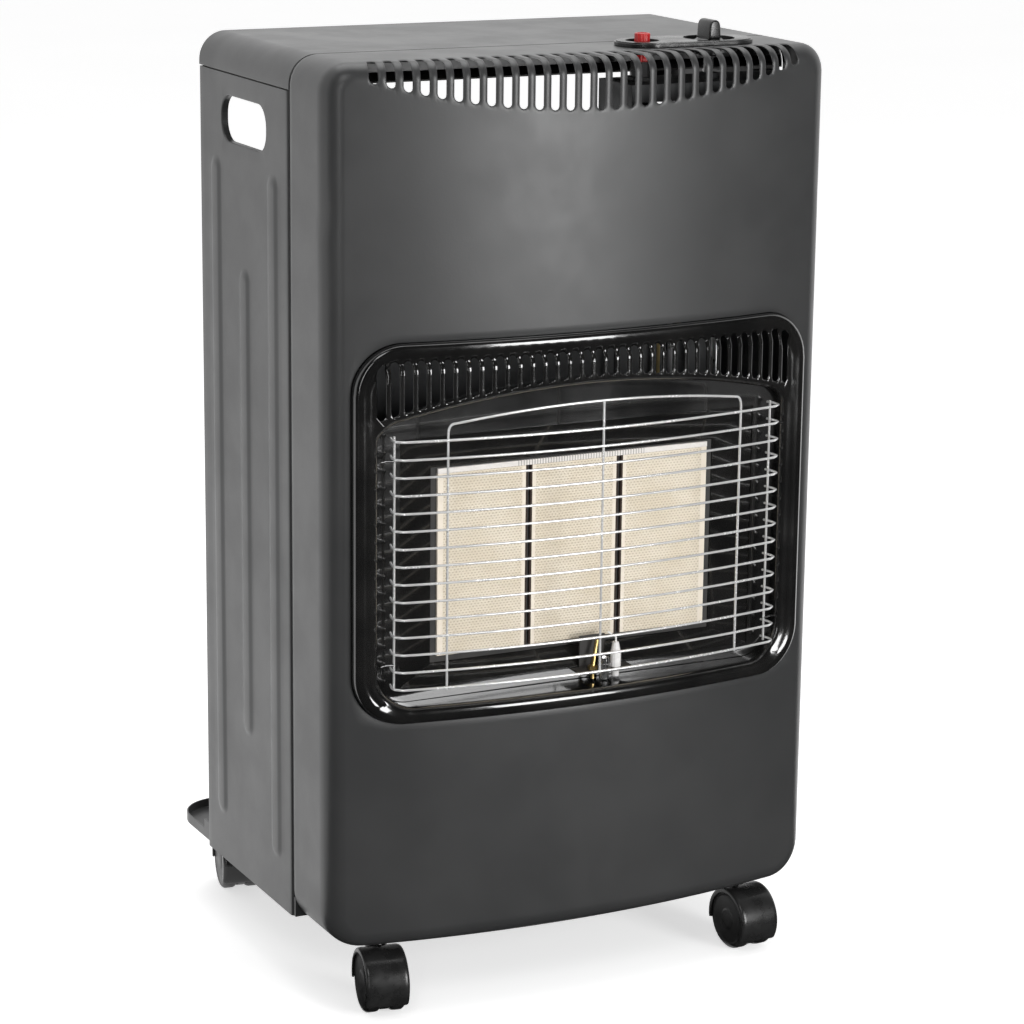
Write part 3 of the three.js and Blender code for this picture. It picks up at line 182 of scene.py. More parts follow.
def sweep(path, radius, sides=12, up=(0, 0, 1)):
    # a round profile carried along a path: point = path + radius (cos a, sin a) in the plane across it
    path = np.asarray(path, float)
    ahead = np.diff(path, axis=0, append=path[-1:] * 2 - path[-2:-1])
    behind = np.diff(path, axis=0, prepend=path[:1] * 2 - path[1:2])
    tangent = unitRows(unitRows(ahead) + unitRows(behind))
    u = unitRows(np.cross(tangent, np.asarray(up, float)))
    v = np.cross(tangent, u)
    turn = np.linspace(0, 2 * np.pi, sides + 1)
    turn[-1] = 0
    ring = u[:, None] * np.cos(turn)[None, :, None] + v[:, None] * np.sin(turn)[None, :, None]
    points = path[:, None] + ring * radius
    first = np.repeat(path[:1, None], sides + 1, 1)
    last = np.repeat(path[-1:, None], sides + 1, 1)
    return np.concatenate([first, points, last]), None


def roundedPath(points, bend, steps=6):
    # straight runs joined by quadratic bends of the given length
    at = np.asarray(points, float)
    out = [at[:1]]
    t = np.linspace(0, 1, steps)[:, None]
    for a, b, c in zip(at[:-2], at[1:-1], at[2:]):
        near = b + (a - b) * min(bend / np.linalg.norm(a - b), 0.5)
        far = b + (c - b) * min(bend / np.linalg.norm(c - b), 0.5)
        out.append((1 - t) ** 2 * near + 2 * t * (1 - t) * b + t**2 * far)
    out.append(at[-1:])
    return np.concatenate(out)


def lathe(profile, axisPoint, axis="z", sides=48, start=0, end=2 * np.pi):
    # a profile of (radius, height) points turned about an axis
    profile = np.asarray(profile, float)
    turn = np.linspace(start, end, sides + 1)
    if abs(end - start - 2 * np.pi) < 1e-6:
        turn[-1] = turn[0]
    r, h = profile[:, :1], profile[:, 1:2]
    a, b, c = r * np.cos(turn), r * np.sin(turn), h + 0 * turn
    order = {"z": (a, b, c), "x": (c, a, b), "y": (a, c, b)}[axis]
    return np.stack(order, -1) + np.asarray(axisPoint, float), None


def roundedProfile(points, bend, steps=4):
    # corners of a flat profile rounded as the bends of a path
    flat = np.asarray(points, float)
    return roundedPath(np.column_stack([flat, np.zeros(len(flat))]), bend, steps)[:, :2]


def fadePast(a, limit):
    # 1 along the arc, then down to 0 at the limit, or at once where the limit is the arc's end
    if limit > 1:
        return np.clip((limit - a) / (limit - 1), 0, 1)
    return np.where(a > 1 + 1e-6, 0, 1)


def cornerMap(u, v, centreU, centreV, radius, signU, signV, fadeU=1, fadeV=1):
    # moves points so that the square corner of a block lies on the arc round its centre, fading out past it
    a = (u - centreU) * signU / radius
    b = (v - centreV) * signV / radius
    near = (a > 0) & (b > 0)
    m = np.maximum(np.maximum(a, b), 1e-9)
    angle = np.minimum(a, b) / m * np.pi / 4
    big, less = np.cos(angle), np.sin(angle)
    within = np.minimum(m, 1)
    da = (np.where(a >= b, big, less) - a / m) * within
    db = (np.where(a >= b, less, big) - b / m) * within
    fade = np.minimum(fadePast(a, fadeU), fadePast(b, fadeV))
    u = np.where(near, u + da * fade * radius * signU, u)
    v = np.where(near, v + db * fade * radius * signV, v)
    return u, v


def boxSdf(u, v, u0, u1, v0, v1, radius):
    # signed distance to a rectangle with round corners, negative inside
    a = np.abs(u - (u0 + u1) / 2) - (u1 - u0) / 2 + radius
    b = np.abs(v - (v0 + v1) / 2) - (v1 - v0) / 2 + radius
    return np.hypot(np.maximum(a, 0), np.maximum(b, 0)) + np.minimum(np.maximum(a, b), 0) - radius


def capBulge(x, pitch, count, width):
    # how far the round end of a slot reaches past its straight part at x
    last = (count - 1) / 2
    k = np.clip(np.round(x / pitch + last), 0, count - 1)
    dx = np.abs(x - (k - last) * pitch)
    half = width / 2
    return np.sqrt(np.maximum(half**2 - np.minimum(dx, half) ** 2, 0))


# ---- materials ----


class Signal:
    # a socket of a node tree; arithmetic on it adds Math nodes
    def __init__(self, tree, socket):
        self.tree = tree
        self.socket = socket

    def math(self, operation, first, second=None):
        node = self.tree.nodes.new("ShaderNodeMath")
        node.operation = operation
        plug(self.tree, node.inputs[0], first)
        if second is not None:
            plug(self.tree, node.inputs[1], second)
        return Signal(self.tree, node.outputs[0])

    def __add__(self, other):
        return self.math("ADD", self, other)

    __radd__ = __add__

    def __sub__(self, other):
        return self.math("SUBTRACT", self, other)

    def __rsub__(self, other):
        return self.math("SUBTRACT", other, self)

    def __mul__(self, other):
        return self.math("MULTIPLY", self, other)

    __rmul__ = __mul__

    def __pow__(self, other):
        return self.math("POWER", self, other)

    def __gt__(self, other):
        return self.math("GREATER_THAN", self, other)

    def __lt__(self, other):
        return self.math("LESS_THAN", self, other)

    def __abs__(self):
        return self.math("ABSOLUTE", self)


def plug(tree, socket, value):
    if isinstance(value, Signal):
        tree.links.new(value.socket, socket)
    else:
        socket.default_value = value


class Finish:
    # one material: its shader's own sockets, and nodes that vary over the surface
    def __init__(self, name, **uniform):
        self.material = bpy.data.materials.new(name)
        self.material.use_nodes = True
        self.tree = self.material.node_tree
        self.shader = self.tree.nodes["Principled BSDF"]
        self.set(**uniform)
        self.place = self.node("ShaderNodeTexCoord", output="Object")

    def set(self, **inputs):
        for name, value in inputs.items():
            plug(self.tree, self.shader.inputs[name.replace("_", " ")], value)

    def node(self, kind, settings=None, output=0, **inputs):
        node = self.tree.nodes.new(kind)
        for name, value in (settings or {}).items():
            setattr(node, name, value)
        for name, value in inputs.items():
            plug(self.tree, node.inputs[name.replace("_", " ")], value)
        return Signal(self.tree, node.outputs[output])

    def stretched(self, scale):
        return self.node("ShaderNodeMapping", Vector=self.place, Scale=scale)

    def noise(self, size, detail=2.0, rough=0.5, vector=None):
        # size is the width of a blotch in millimetres
        return self.node("ShaderNodeTexNoise", Vector=vector or self.place, Scale=1000 / size,
                         Detail=detail, Roughness=rough)

    def spread(self, value, low, high, fromLow=0.3, fromHigh=0.7):
        return self.node("ShaderNodeMapRange", {"interpolation_type": "SMOOTHSTEP"}, Value=value, **{
            "From_Min": fromLow, "From_Max": fromHigh, "To_Min": low, "To_Max": high})

    def between(self, factor, first, second):
        node = self.tree.nodes.new("ShaderNodeMix")
        node.data_type = "RGBA"
        plug(self.tree, node.inputs[0], factor)
        plug(self.tree, node.inputs[6], first)
        plug(self.tree, node.inputs[7], second)
        return Signal(self.tree, node.outputs[2])

    def axes(self):
        split = self.tree.nodes.new("ShaderNodeSeparateXYZ")
        plug(self.tree, split.inputs[0], self.place)
        return [Signal(self.tree, out) for out in split.outputs]

    def bump(self, height, depth, strength=1.0):
        # depth is the height of the relief in millimetres
        self.set(Normal=self.node("ShaderNodeBump", Height=height, Distance=depth / 1000, Strength=strength))


def tone(level, warm=0.0):
    # a grey by its linear level, warmer or cooler by a share
    return (level * (1 + warm), level, level * (1 - warm), 1)


def charcoalPaint():
    f = Finish("charcoalPaint", Metallic=0.0, Specular_IOR_Level=0.5, Coat_Roughness=0.3)
    broad = f.noise(160, 3)
    f.set(Base_Color=f.between(f.spread(broad, 0, 1), tone(0.03, -0.02), tone(0.037, -0.01)))
    smear = f.noise(45, 4, 0.6)
    f.set(Roughness=f.spread(smear, 0.35, 0.42), Coat_Weight=f.spread(broad, 0.1, 0.18))
    f.bump(f.noise(1.6, 2) * 0.7 + f.noise(5, 1) * 0.5, 0.035)
    return f


def blackEnamel():
    f = Finish("blackEnamel", Metallic=0.0, Specular_IOR_Level=0.6, Coat_Roughness=0.04)
    film = f.noise(60, 4, 0.6)
    f.set(Base_Color=f.between(f.spread(film, 0, 1), tone(0.006), tone(0.01, 0.03)))
    f.set(Roughness=f.spread(film, 0.12, 0.2), Coat_Weight=f.spread(film, 0.75, 0.9))
    f.bump(f.noise(9, 2), 0.05)
    return f


def sootBlack():
    f = Finish("sootBlack", Metallic=0.0)
    dust = f.noise(30, 5, 0.65)
    f.set(Base_Color=f.between(f.spread(dust, 0, 1), tone(0.02), tone(0.045, 0.06)))
    f.set(Roughness=f.spread(dust, 0.5, 0.72))
    f.bump(f.noise(2.5, 3), 0.06)
    return f


def galvanised():
    f = Finish("galvanised", Metallic=0.5)
    spangle = f.node("ShaderNodeTexVoronoi", output="Color", Vector=f.place, Scale=1000 / 9)
    level = f.node("ShaderNodeRGBToBW", Color=spangle)
    # the spangle is the zinc's own pattern; the whole tone is kept far darker than bare zinc, as painted
    # shade for the sheets deep inside the cabinet
    f.set(Base_Color=f.between(level, tone(0.045, -0.03), tone(0.08, -0.02)))
    f.set(Roughness=f.spread(level, 0.5, 0.68, 0, 1))
    f.bump(f.noise(3, 2), 0.03)
    return f


def brightMetal(name, low, high, roughLow, roughHigh, grain=(1, 1, 1)):
    f = Finish(name, Metallic=1.0)
    drawn = f.noise(2.2, 3, 0.6, f.stretched(grain))
    haze = f.noise(26, 3)
    f.set(Base_Color=f.between(f.spread(haze, 0, 1), low, high))
    f.set(Roughness=f.spread(drawn * 0.5 + haze * 0.5, roughLow, roughHigh))
    f.bump(drawn, 0.012)
    return f


def plaqueCeramic():
    # rows of fine flame ports, each row shifted by half a step, with a plain rim and a near-black strip at
    # the gaps between plaques
    f = Finish("plaqueCeramic", Metallic=0.0, Specular_IOR_Level=0.3)
    x, _, z = f.axes()
    step, row, plaqueStep, jointsWithin = 2.9, 2.05, 78, 90
    rimFrom, jointFrom = 33.2, 36.2
    up = z * (1000 / row)
    level = up.math("FLOOR", up)
    shift = level.math("MODULO", level, 2) * 0.5
    across = x * (1000 / step) + shift
    u = (across - across.math("ROUND", across)) * step
    v = (up - level - 0.5) * row
    away = (u * u * 0.35 + v * v) ** 0.5
    tile = x * (1000 / plaqueStep)
    fromCentre = abs(tile - tile.math("ROUND", tile)) * plaqueStep
    rim = fromCentre > rimFrom
    joint = (fromCentre > jointFrom) * (abs(x) < jointsWithin / 1000)
    port = f.spread(away, 1, 0, 0.3, 0.62) * (1 - rim)
    stain = f.noise(36, 4, 0.6)
    body = f.between(f.spread(stain, 0, 1), (0.70, 0.62, 0.49, 1), (0.78, 0.71, 0.59, 1))
    body = f.between(rim * 0.55, body, (0.88, 0.80, 0.70, 1))
    # each flame port is painted darker brown: painted shade inside the small holes
    body = f.between(port * 0.5, body, (0.34, 0.25, 0.16, 1))
    f.set(Base_Color=f.between(joint, body, (0.045, 0.030, 0.024, 1)))
    f.set(Roughness=f.spread(stain, 0.8, 0.92))
    f.bump((1 - port) * 0.8 + f.noise(1.2, 2) * 0.2, 0.35)
    return f


def gasketFibre():
    # a pale woven strip with fine dark stitches across its middle
    f = Finish("gasketFibre", Metallic=0.0, Specular_IOR_Level=0.25)
    x, _, z = f.axes()
    along = x * (1000 / 2.3)
    stitch = (abs(along - along.math("ROUND", along)) < 0.17) * (abs(x - 0.005) < 0.055)
    fuzz = f.noise(1.4, 3)
    cloth = f.between(fuzz, tone(0.66, 0.05), tone(0.80, 0.04))
    f.set(Base_Color=f.between(stitch * 0.6, cloth, tone(0.14, 0.1)))
    f.set(Roughness=f.spread(fuzz, 0.85, 0.95))
    f.bump(fuzz, 0.25)
    return f


def platedWire():
    # bright plating over drawn wire, hazy enough to stay light against the black window
    f = Finish("platedWire", Metallic=0.55, Specular_IOR_Level=0.6)
    drawn = f.noise(2.2, 3, 0.6)
    haze = f.noise(26, 3)
    f.set(Base_Color=f.between(f.spread(haze, 0, 1), tone(0.82), tone(0.9)))
    f.set(Roughness=f.spread(drawn * 0.5 + haze * 0.5, 0.16, 0.3))
    f.bump(drawn, 0.01)
    return f


def porcelain():
    f = Finish("porcelain", Metallic=0.0, Coat_Roughness=0.08)
    speck = f.noise(6, 3)
    f.set(Base_Color=f.between(f.spread(speck, 0, 1), tone(0.78, 0.02), tone(0.86, 0.01)))
    f.set(Roughness=f.spread(speck, 0.18, 0.3), Coat_Weight=f.spread(speck, 0.4, 0.6))
    f.bump(f.noise(3, 1), 0.02)
    return f


def plastic(name, dark, light, roughLow, roughHigh, grain=0.7, depth=0.008):
    f = Finish(name, Metallic=0.0, Specular_IOR_Level=0.5)
    wear = f.noise(18, 4, 0.6)
    f.set(Base_Color=f.between(f.spread(wear, 0, 1), dark, light))
    f.set(Roughness=f.spread(wear, roughLow, roughHigh))
    f.bump(f.noise(grain, 2), depth)
    return f


finishes = {
    "charcoal_paint": charcoalPaint(),
    "black_enamel": blackEnamel(),
    "soot_black": sootBlack(),
    "galvanised": galvanised(),
    "chrome": platedWire(),
    "steel": brightMetal("turnedSteel", tone(0.6), tone(0.72), 0.24, 0.4, (1, 1, 0.2)),
    "brass": brightMetal("brass", (0.60, 0.44, 0.18, 1), (0.74, 0.58, 0.28, 1), 0.3, 0.45),
    "ceramic": plaqueCeramic(),
    "fibre": gasketFibre(),
    "porcelain": porcelain(),
    "black_plastic": plastic("blackPlastic", tone(0.012), tone(0.02), 0.22, 0.34),
    "red_plastic": plastic("redPlastic", (0.42, 0.008, 0.01, 1), (0.55, 0.02, 0.02, 1), 0.2, 0.32),
    "rubber": plastic("wheelRubber", tone(0.012), tone(0.024), 0.36, 0.52, 1.2, 0.02),
}


def coat(obj, slotName):
    obj.data.materials.clear()
    obj.data.materials.append(finishes[slotName].material)


for part in frame["record"]["subparts"]:
    coat(nodes[part["node"]], part["material_slot"])
print("stage: materials")


def place(piece, body, slotName, *replaced):
    # a finished piece: its material, the body it rides on and the nodes it stands for
    coat(piece, slotName)
    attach(piece, body)
    if replaced:
        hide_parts(*replaced)


# ---- front panel ----

frontPanel = {
    "edge": 14,
    "lowCorner": 30,
    "bottomZ": 56,
    "reveal": 2.5,
    "fold": 12.5,
    "foldLowZ": 92,
    "foldHighZ": 696,
    "undersideY": -60,
    "windowHalf": 192.5,
    "windowLow": 236,
    "windowHigh": 528,
    "windowRadius": 38,
    "splitZ": 650,
}

louvres = {
    "count": 29,
    "pitch": 12.54,
    "width": 6.5,
    "backY": -61,
    "middleZ": 693,
    "arc": 24.5,
    "fan": 8,
    "rim": 0.9,
    "press": 0.55,
}


def rimColumns(slots):
    # x of the grid lines for a row of slots: round rims, a line beside each rim and one on each bar
    half = slots["width"] / 2
    across = half * np.sin(np.linspace(-np.pi / 2, np.pi / 2, 7))
    bar = np.array([half + slots["rim"], slots["pitch"] / 2, -half - slots["rim"]])
    centres = (np.arange(slots["count"]) - (slots["count"] - 1) / 2) * slots["pitch"]
    lines = (centres[:, None] + np.concatenate([across, bar])).ravel()
    return np.unique(np.round(lines, 5))


def slotDistance(x, v, slots, vLow, vHigh):
    # distance from the outline of the nearest slot, which runs from vLow to vHigh with round ends
    half = slots["width"] / 2
    last = (slots["count"] - 1) / 2
    k = np.clip(np.round(x / slots["pitch"] + last), 0, slots["count"] - 1)
    dx = x - (k - last) * slots["pitch"]
    dv = v - np.clip(v, vLow + half, vHigh - half)
    return np.hypot(dx, dv) - half


def profilePoint(q, n, s, edge, back, proud=0):
    # s runs from the back edge along the wall, round the edge radius and on across the face
    wallX = q[..., 0] + n[..., 0] * edge
    wall = -back - (bowY(wallX, proud) + edge)
    turn = np.clip((s - wall) / edge, 0, np.pi / 2)
    past = np.maximum(s - wall - edge * np.pi / 2, 0)
    out = edge * np.cos(turn) - past
    x = q[..., 0] + n[..., 0] * out
    z = q[..., 1] + n[..., 1] * out
    y = np.where(s < wall, -back - s, bowY(x, proud) + edge * (1 - np.sin(turn)))
    normal = np.stack([n[..., 0] * np.cos(turn), -np.sin(turn), n[..., 1] * np.cos(turn)], -1)
    return np.stack([x, y, z], -1), normal, wall + edge * np.pi / 2


def makeFrontPanel():
    f, l = frontPanel, louvres
    edge = f["edge"]
    faceHalf = cabinet["half"] - edge
    faceTop = cabinet["topZ"] - edge
    faceLow = f["bottomZ"] + edge
    topR = cabinet["cornerRadius"] - edge
    lowR = f["lowCorner"] - edge
    splitZ = f["splitZ"]
    backRows, slotRows = 17, 27
    inner = faceHalf - topR
    side = [180, 183, 186, inner]
    slotX = rimColumns(l)
    xs = np.unique(np.concatenate([-np.array(side), slotX, side]))
    outer = np.array([inner + 2, f["windowHalf"], faceHalf - 1.7, faceHalf])
    # top wall, rounded edge and the upper face, with the louvres
    half = l["width"] / 2
    bulge = capBulge(xs, l["pitch"], l["count"], l["width"])
    q = np.stack([xs, np.full_like(xs, faceTop)], -1)
    up = np.broadcast_to([0.0, 1.0], q.shape)
    faceAt = profilePoint(q, up, np.zeros_like(xs), edge, f["reveal"])[2]
    start = -f["reveal"] - l["backY"] + half - bulge
    tipZ = l["middleZ"] + l["arc"] * (xs / ((l["count"] - 1) / 2 * l["pitch"])) ** 2
    endZ = tipZ + half - bulge
    lastX = (l["count"] - 1) / 2 * l["pitch"] + half
    beyond = np.clip((np.abs(xs) - lastX) / (inner - lastX), 0, 1)
    endZ = mix(endZ, faceTop, beyond)
    over = np.clip((endZ - faceTop) / edge, 0, 1)
    end = faceAt + np.where(endZ > faceTop, -edge * np.arcsin(over), faceTop - endZ)
    lowS = faceAt + faceTop - splitZ
    toStart = np.linspace(0, 1, backRows)[:-1, None] * (start - l["rim"])
    toEnd = start + np.linspace(0, 1, slotRows)[:, None] * (end - start)
    fall = np.array([0, 2, 5, 8, 28, 48, 68])[:, None] / 68
    fallRows = mix(end, lowS, fall)
    rimShare = l["rim"] / 68
    rimRow = mix(end, lowS, rimShare)
    s = np.concatenate([toStart, (start - l["rim"])[None], toEnd, rimRow[None], fallRows[1:]])
    points, normal, _ = profilePoint(q[None], up[None], s, edge, f["reveal"])
    tipStart = -f["reveal"] - l["backY"]
    tipTurn = np.arcsin(np.clip((tipZ - faceTop) / edge, 0, 1))
    tipEnd = faceAt + np.where(tipZ > faceTop, -edge * tipTurn, faceTop - tipZ)
    away = slotDistance(xs[None], s, l, tipStart, tipEnd[None])
    points -= normal * (l["press"] * (1 - smooth(away / l["rim"])))[..., None]
    # the slots run square to the bowed face, so they draw together towards the back
    behind = np.clip((points[..., 1] - bowY(xs)[None]) / (l["backY"] - bowY(0)), 0, 1)
    points[..., 0] -= l["fan"] * xs / lastX * (1 - beyond) * behind
    midX = (xs[1:] + xs[:-1]) / 2
    columnsIn = (np.abs(midX - np.round(midX / l["pitch"]) * l["pitch"]) < half) & (np.abs(midX) < lastX)
    keep = np.ones((len(s) - 1, len(xs) - 1), bool)
    keep[backRows : backRows + slotRows - 1] = ~columnsIn
    patches = [(points, keep)]
    # the two upper corners of the face
    share = np.insert(fall[:, 0], 1, rimShare)
    fallZ = mix(faceTop, splitZ, share)
    cornerX, cornerZ = np.meshgrid(np.concatenate([[inner], outer]), fallZ)
    cornerX, cornerZ = cornerMap(cornerX, cornerZ, inner, faceTop - topR, topR, 1, 1)
    right = np.stack([cornerX, bowY(cornerX), cornerZ], -1)
    left = (right * [-1, 1, 1])[:, ::-1]
    patches += [(right, None), (left, None)]
    # the face below, with the window
    allX = np.unique(np.concatenate([-outer, xs, outer]))
    w0, w1, wr = f["windowLow"], f["windowHigh"], f["windowRadius"]
    rows = np.concatenate([
        [splitZ, 625, 600, 575], np.linspace(w1 + 30, w1, 6), np.linspace(w1, w1 - wr, 9)[1:],
        np.linspace(w1 - wr, w0 + wr, 13)[1:], np.linspace(w0 + wr, w0, 9)[1:],
        np.linspace(w0, w0 - 30, 6)[1:],
        np.linspace(w0 - 30, faceLow + lowR, 9)[1:], np.linspace(faceLow + lowR, faceLow, 6)[1:],
    ])
    x, z = np.meshgrid(allX, rows)
    midX, midZ = (allX[1:] + allX[:-1]) / 2, (rows[1:] + rows[:-1]) / 2
    hole = (np.abs(midX)[None] < f["windowHalf"]) & (midZ > w0)[:, None] & (midZ < w1)[:, None]
    reach = (faceHalf - f["windowHalf"] + wr) / wr
    for su in (-1, 1):
        cu = su * (f["windowHalf"] - wr)
        x, z = cornerMap(x, z, cu, w1 - wr, wr, su, 1, reach, 1.75)
        x, z = cornerMap(x, z, cu, w0 + wr, wr, su, -1, reach, 1.75)
        x, z = cornerMap(x, z, su * (faceHalf - lowR), faceLow + lowR, lowR, su, -1)
    face = np.stack([x, bowY(x), z], -1)
    patches.append((face, ~hole))
    # the side walls, the bottom and their corners, as one ring that starts and ends beside the louvres
    loop = np.concatenate([
        right[0, :-1], right[:-1, -1], face[:-1, -1], face[-1, :0:-1], face[:0:-1, 0],
        left[:0:-1, 0], left[0],
    ])[:, [0, 2]]
    n = ringNormals(loop)
    n[[0, -1]] = [0, 1]
    toFace = profilePoint(loop, n, np.zeros(len(loop)), edge, f["reveal"])[2]
    begin = np.where(loop[:, 1] > 600, -f["reveal"] - l["backY"] + half, -f["reveal"] - f["undersideY"])
    s = np.concatenate([
        np.linspace(0, 1, backRows)[:-1, None] * (begin - l["rim"]), (begin - l["rim"])[None],
        begin + np.linspace(0, 1, slotRows)[:, None] * (toFace - begin),
    ])
    ring = profilePoint(loop[None], n[None], s, edge, f["reveal"])[0]
    middle = (ring[1:, 1:] + ring[:-1, :-1]) / 2
    under = (middle[..., 1] > f["undersideY"]) & (middle[..., 2] < f["bottomZ"] + 3)
    under &= np.abs(middle[..., 0]) < faceHalf
    patches.append((ring, ~under))
    # the rear edges are folded in at the sides
    depth = np.array([0, 0.4, 0.5, 1])[:, None] * f["fold"]
    foldX = ring[0, :, 0] - n[:, 0] * depth
    foldZ = ring[0, :, 2] - n[:, 1] * depth
    fold = np.stack([foldX, np.full_like(foldX, -f["reveal"]), foldZ], -1)
    rowZ = (loop[1:, 1] + loop[:-1, 1]) / 2
    sideways = (rowZ > f["foldLowZ"]) & (rowZ < f["foldHighZ"])
    patches.append((fold, np.broadcast_to(sideways, (3, len(rowZ)))))
    return toObject("frontPanelSkin", patches, (0, -30, 400), wall=cabinet["sheet"], bevel=0.3, sharp=42)


# ---- window trim ----

trim = {
    "proud": 7,
    "clear": 0.5,
    "edge": 4,
    "bead": 6.5,
    "groove": 3.4,
    "pillow": 2.6,
    "radius": 38,
    "openHalf": 172,
    "openLow": 249,
    "shoulder": 465,
    "crown": 488,
    "lowRadius": 27,
    "highRadius": 12,
    "roll": 5.5,
    "backY": -67.2,
}

trimSlots = {"count": 35, "pitch": 10.09, "width": 6, "topZ": 514.5, "margin": 6, "rim": 0.75, "press": 0.9}


def makeTrim():
    t, l = trim, trimSlots
    outHalf = frontPanel["windowHalf"] - t["clear"] - t["edge"]
    low = frontPanel["windowLow"] + t["clear"] + t["edge"]
    high = frontPanel["windowHigh"] - t["clear"] - t["edge"]
    r = t["radius"] - t["edge"]
    holeHalf = t["openHalf"] + t["roll"]
    holeLow = t["openLow"] - t["roll"]
    holeTop = t["crown"] + t["roll"]
    rLow = t["lowRadius"] + t["roll"]
    rHigh = t["highRadius"] + t["roll"]
    drop = lambda x: (t["crown"] - t["shoulder"]) * (x / t["openHalf"]) ** 2
    half = l["width"] / 2
    side = np.array([holeHalf, 181, 184, 186, 187.2, outHalf])
    xs = np.unique(np.round(np.concatenate([-side, rimColumns(l), side]), 5))
    xs = xs[(np.abs(xs) <= outHalf)]
    bulge = capBulge(xs, l["pitch"], l["count"], l["width"])
    past = np.maximum(np.abs(xs) - (outHalf - r), 0)
    outlineZ = high - r + np.sqrt(np.maximum(r * r - past * past, 0))
    slotTop = np.minimum(l["topZ"] - half + bulge, outlineZ - 3 - 0.2 * past)
    slotLow = t["crown"] + l["margin"] - drop(xs) + half - bulge
    slotLow = np.minimum(slotLow, slotTop - 6)
    topRows = mix(outlineZ, slotTop, np.array([0, 0.25, 0.5, 0.75, 0.92])[:, None])
    slotRows = mix(slotTop, slotLow, np.linspace(0, 1, 15)[:, None])
    zUpper = np.concatenate([topRows, slotRows])
    # below the slots the lattice is worked in w, and the arch lowers it towards the sides
    ws = np.concatenate([
        np.linspace(holeTop, holeTop - rHigh, 6), [460, 440, 420, 400],
        np.linspace(400, holeLow + rLow, 7)[1:],
        np.linspace(holeLow + rLow, holeLow, 9)[1:], [(holeLow + low) / 2, low],
    ])
    x, w = np.meshgrid(xs, ws)
    hx, hw = np.clip(x, -holeHalf, holeHalf), np.maximum(w, holeLow)
    f = np.maximum((np.abs(x) - holeHalf) / (outHalf - holeHalf), (holeLow - w) / (holeLow - low))
    f = np.clip(f, 0, 1)
    ox = hx * outHalf / holeHalf
    ow = np.where(hw < 400, low + (hw - holeLow) * (400 - low) / (400 - holeLow), hw)
    for su in (-1, 1):
        hx, hw = cornerMap(hx, hw, su * (holeHalf - rLow), holeLow + rLow, rLow, su, -1)
        hx, hw = cornerMap(hx, hw, su * (holeHalf - rHigh), holeTop - rHigh, rHigh, su, 1)
        ox, ow = cornerMap(ox, ow, su * (outHalf - r), low + r, r, su, -1)
    strip = (f > 0) & (np.abs(x) > holeHalf - 1e-6) | (w < holeLow)
    gx = np.where(strip, mix(hx, ox, f), hx)
    gw = np.where(strip, mix(hw, ow, f), hw)
    lift = drop(gx) * smooth((gw - 400) / (holeTop - 400))
    gz = gw - lift
    midX, midW = (xs[1:] + xs[:-1]) / 2, (ws[1:] + ws[:-1]) / 2
    hole = (np.abs(midX) < holeHalf)[None] & (midW > holeLow)[:, None]
    keepLow = ~hole
    allX = np.concatenate([np.broadcast_to(xs, zUpper.shape), gx])
    allZ = np.concatenate([zUpper, gz])
    keepSlots = np.ones((len(zUpper), len(xs) - 1), bool)
    last = (l["count"] - 1) / 2
    nearest = np.clip(np.round(midX / l["pitch"]), -last, last) * l["pitch"]
    keepSlots[len(topRows) : len(zUpper) - 1] = ~(np.abs(midX - nearest) < half)
    keep = np.concatenate([keepSlots, keepLow])
    inward = -boxSdf(allX, allZ, -outHalf, outHalf, low, high, r)
    y = bowY(allX, t["proud"]) + t["groove"] * smooth((inward - t["bead"] + 3) / 6)
    y = y - t["pillow"] * smooth((inward - t["bead"] - 3) / 8)
    tipTop = np.full_like(xs, l["topZ"])
    tipLow = t["crown"] + l["margin"] - drop(xs)
    away = slotDistance(allX, allZ, l, tipLow[None], tipTop[None])
    y = y + l["press"] * (1 - smooth(away / l["rim"]))
    face = np.stack([allX, y, allZ], -1)
    patches = [(face, keep)]
    # outer edge: round, then back in to the window
    loop = np.concatenate([face[0, :-1], face[:-1, -1], face[-1, :0:-1], face[:0:-1, 0]])[:, [0, 2]]
    n = ringNormals(loop)
    turn = np.linspace(0, np.pi / 2, 7)[:, None]
    edge = t["edge"]
    out = np.concatenate([edge * np.sin(turn), np.full((2, 1), edge)])
    back = np.concatenate([edge * (1 - np.cos(turn)), [[edge + 6], [edge + 14]]])
    ex, ez = loop[:, 0] + n[:, 0] * out, loop[:, 1] + n[:, 1] * out
    rim = np.stack([ex, bowY(ex, t["proud"]) + back, ez], -1)
    patches.append((np.concatenate([rim, rim[:, :1]], 1), None))
    # opening: rolled edge and the wall that runs back to the reflector
    first = len(zUpper)
    i0, i1 = np.searchsorted(xs, -holeHalf - 1e-4), np.searchsorted(xs, holeHalf - 1e-4)
    j1 = first + int(np.argmin(np.abs(ws - holeLow)))
    loop = np.concatenate([
        face[first, i0:i1], face[first:j1, i1], face[j1, i1:i0:-1], face[j1:first:-1, i0],
    ])
    n = ringNormals(loop[:, [0, 2]])
    roll = t["roll"]
    into = np.concatenate([roll * np.sin(turn), np.full((5, 1), roll)])
    along = np.concatenate([roll * (1 - np.cos(turn)), np.full((5, 1), roll)])
    lip = loop[:, 1] + along
    lip[len(turn):] = mix(lip[len(turn) - 1], t["backY"], np.linspace(0, 1, 6)[1:, None])
    wall = np.stack([loop[:, 0] - n[:, 0] * into, lip, loop[:, 2] - n[:, 1] * into], -1)
    patches.append((np.concatenate([wall, wall[:, :1]], 1), None))
    return toObject("windowTrimSkin", patches, (0, 0, 380), wall=1.0, bevel=0.22, sharp=50)


place(makeFrontPanel(), "cabinet", "charcoal_paint", "front_panel")
place(makeTrim(), "cabinet", "black_enamel", "window_trim")
print("stage: front panel and window trim")


# ---- side panels ----

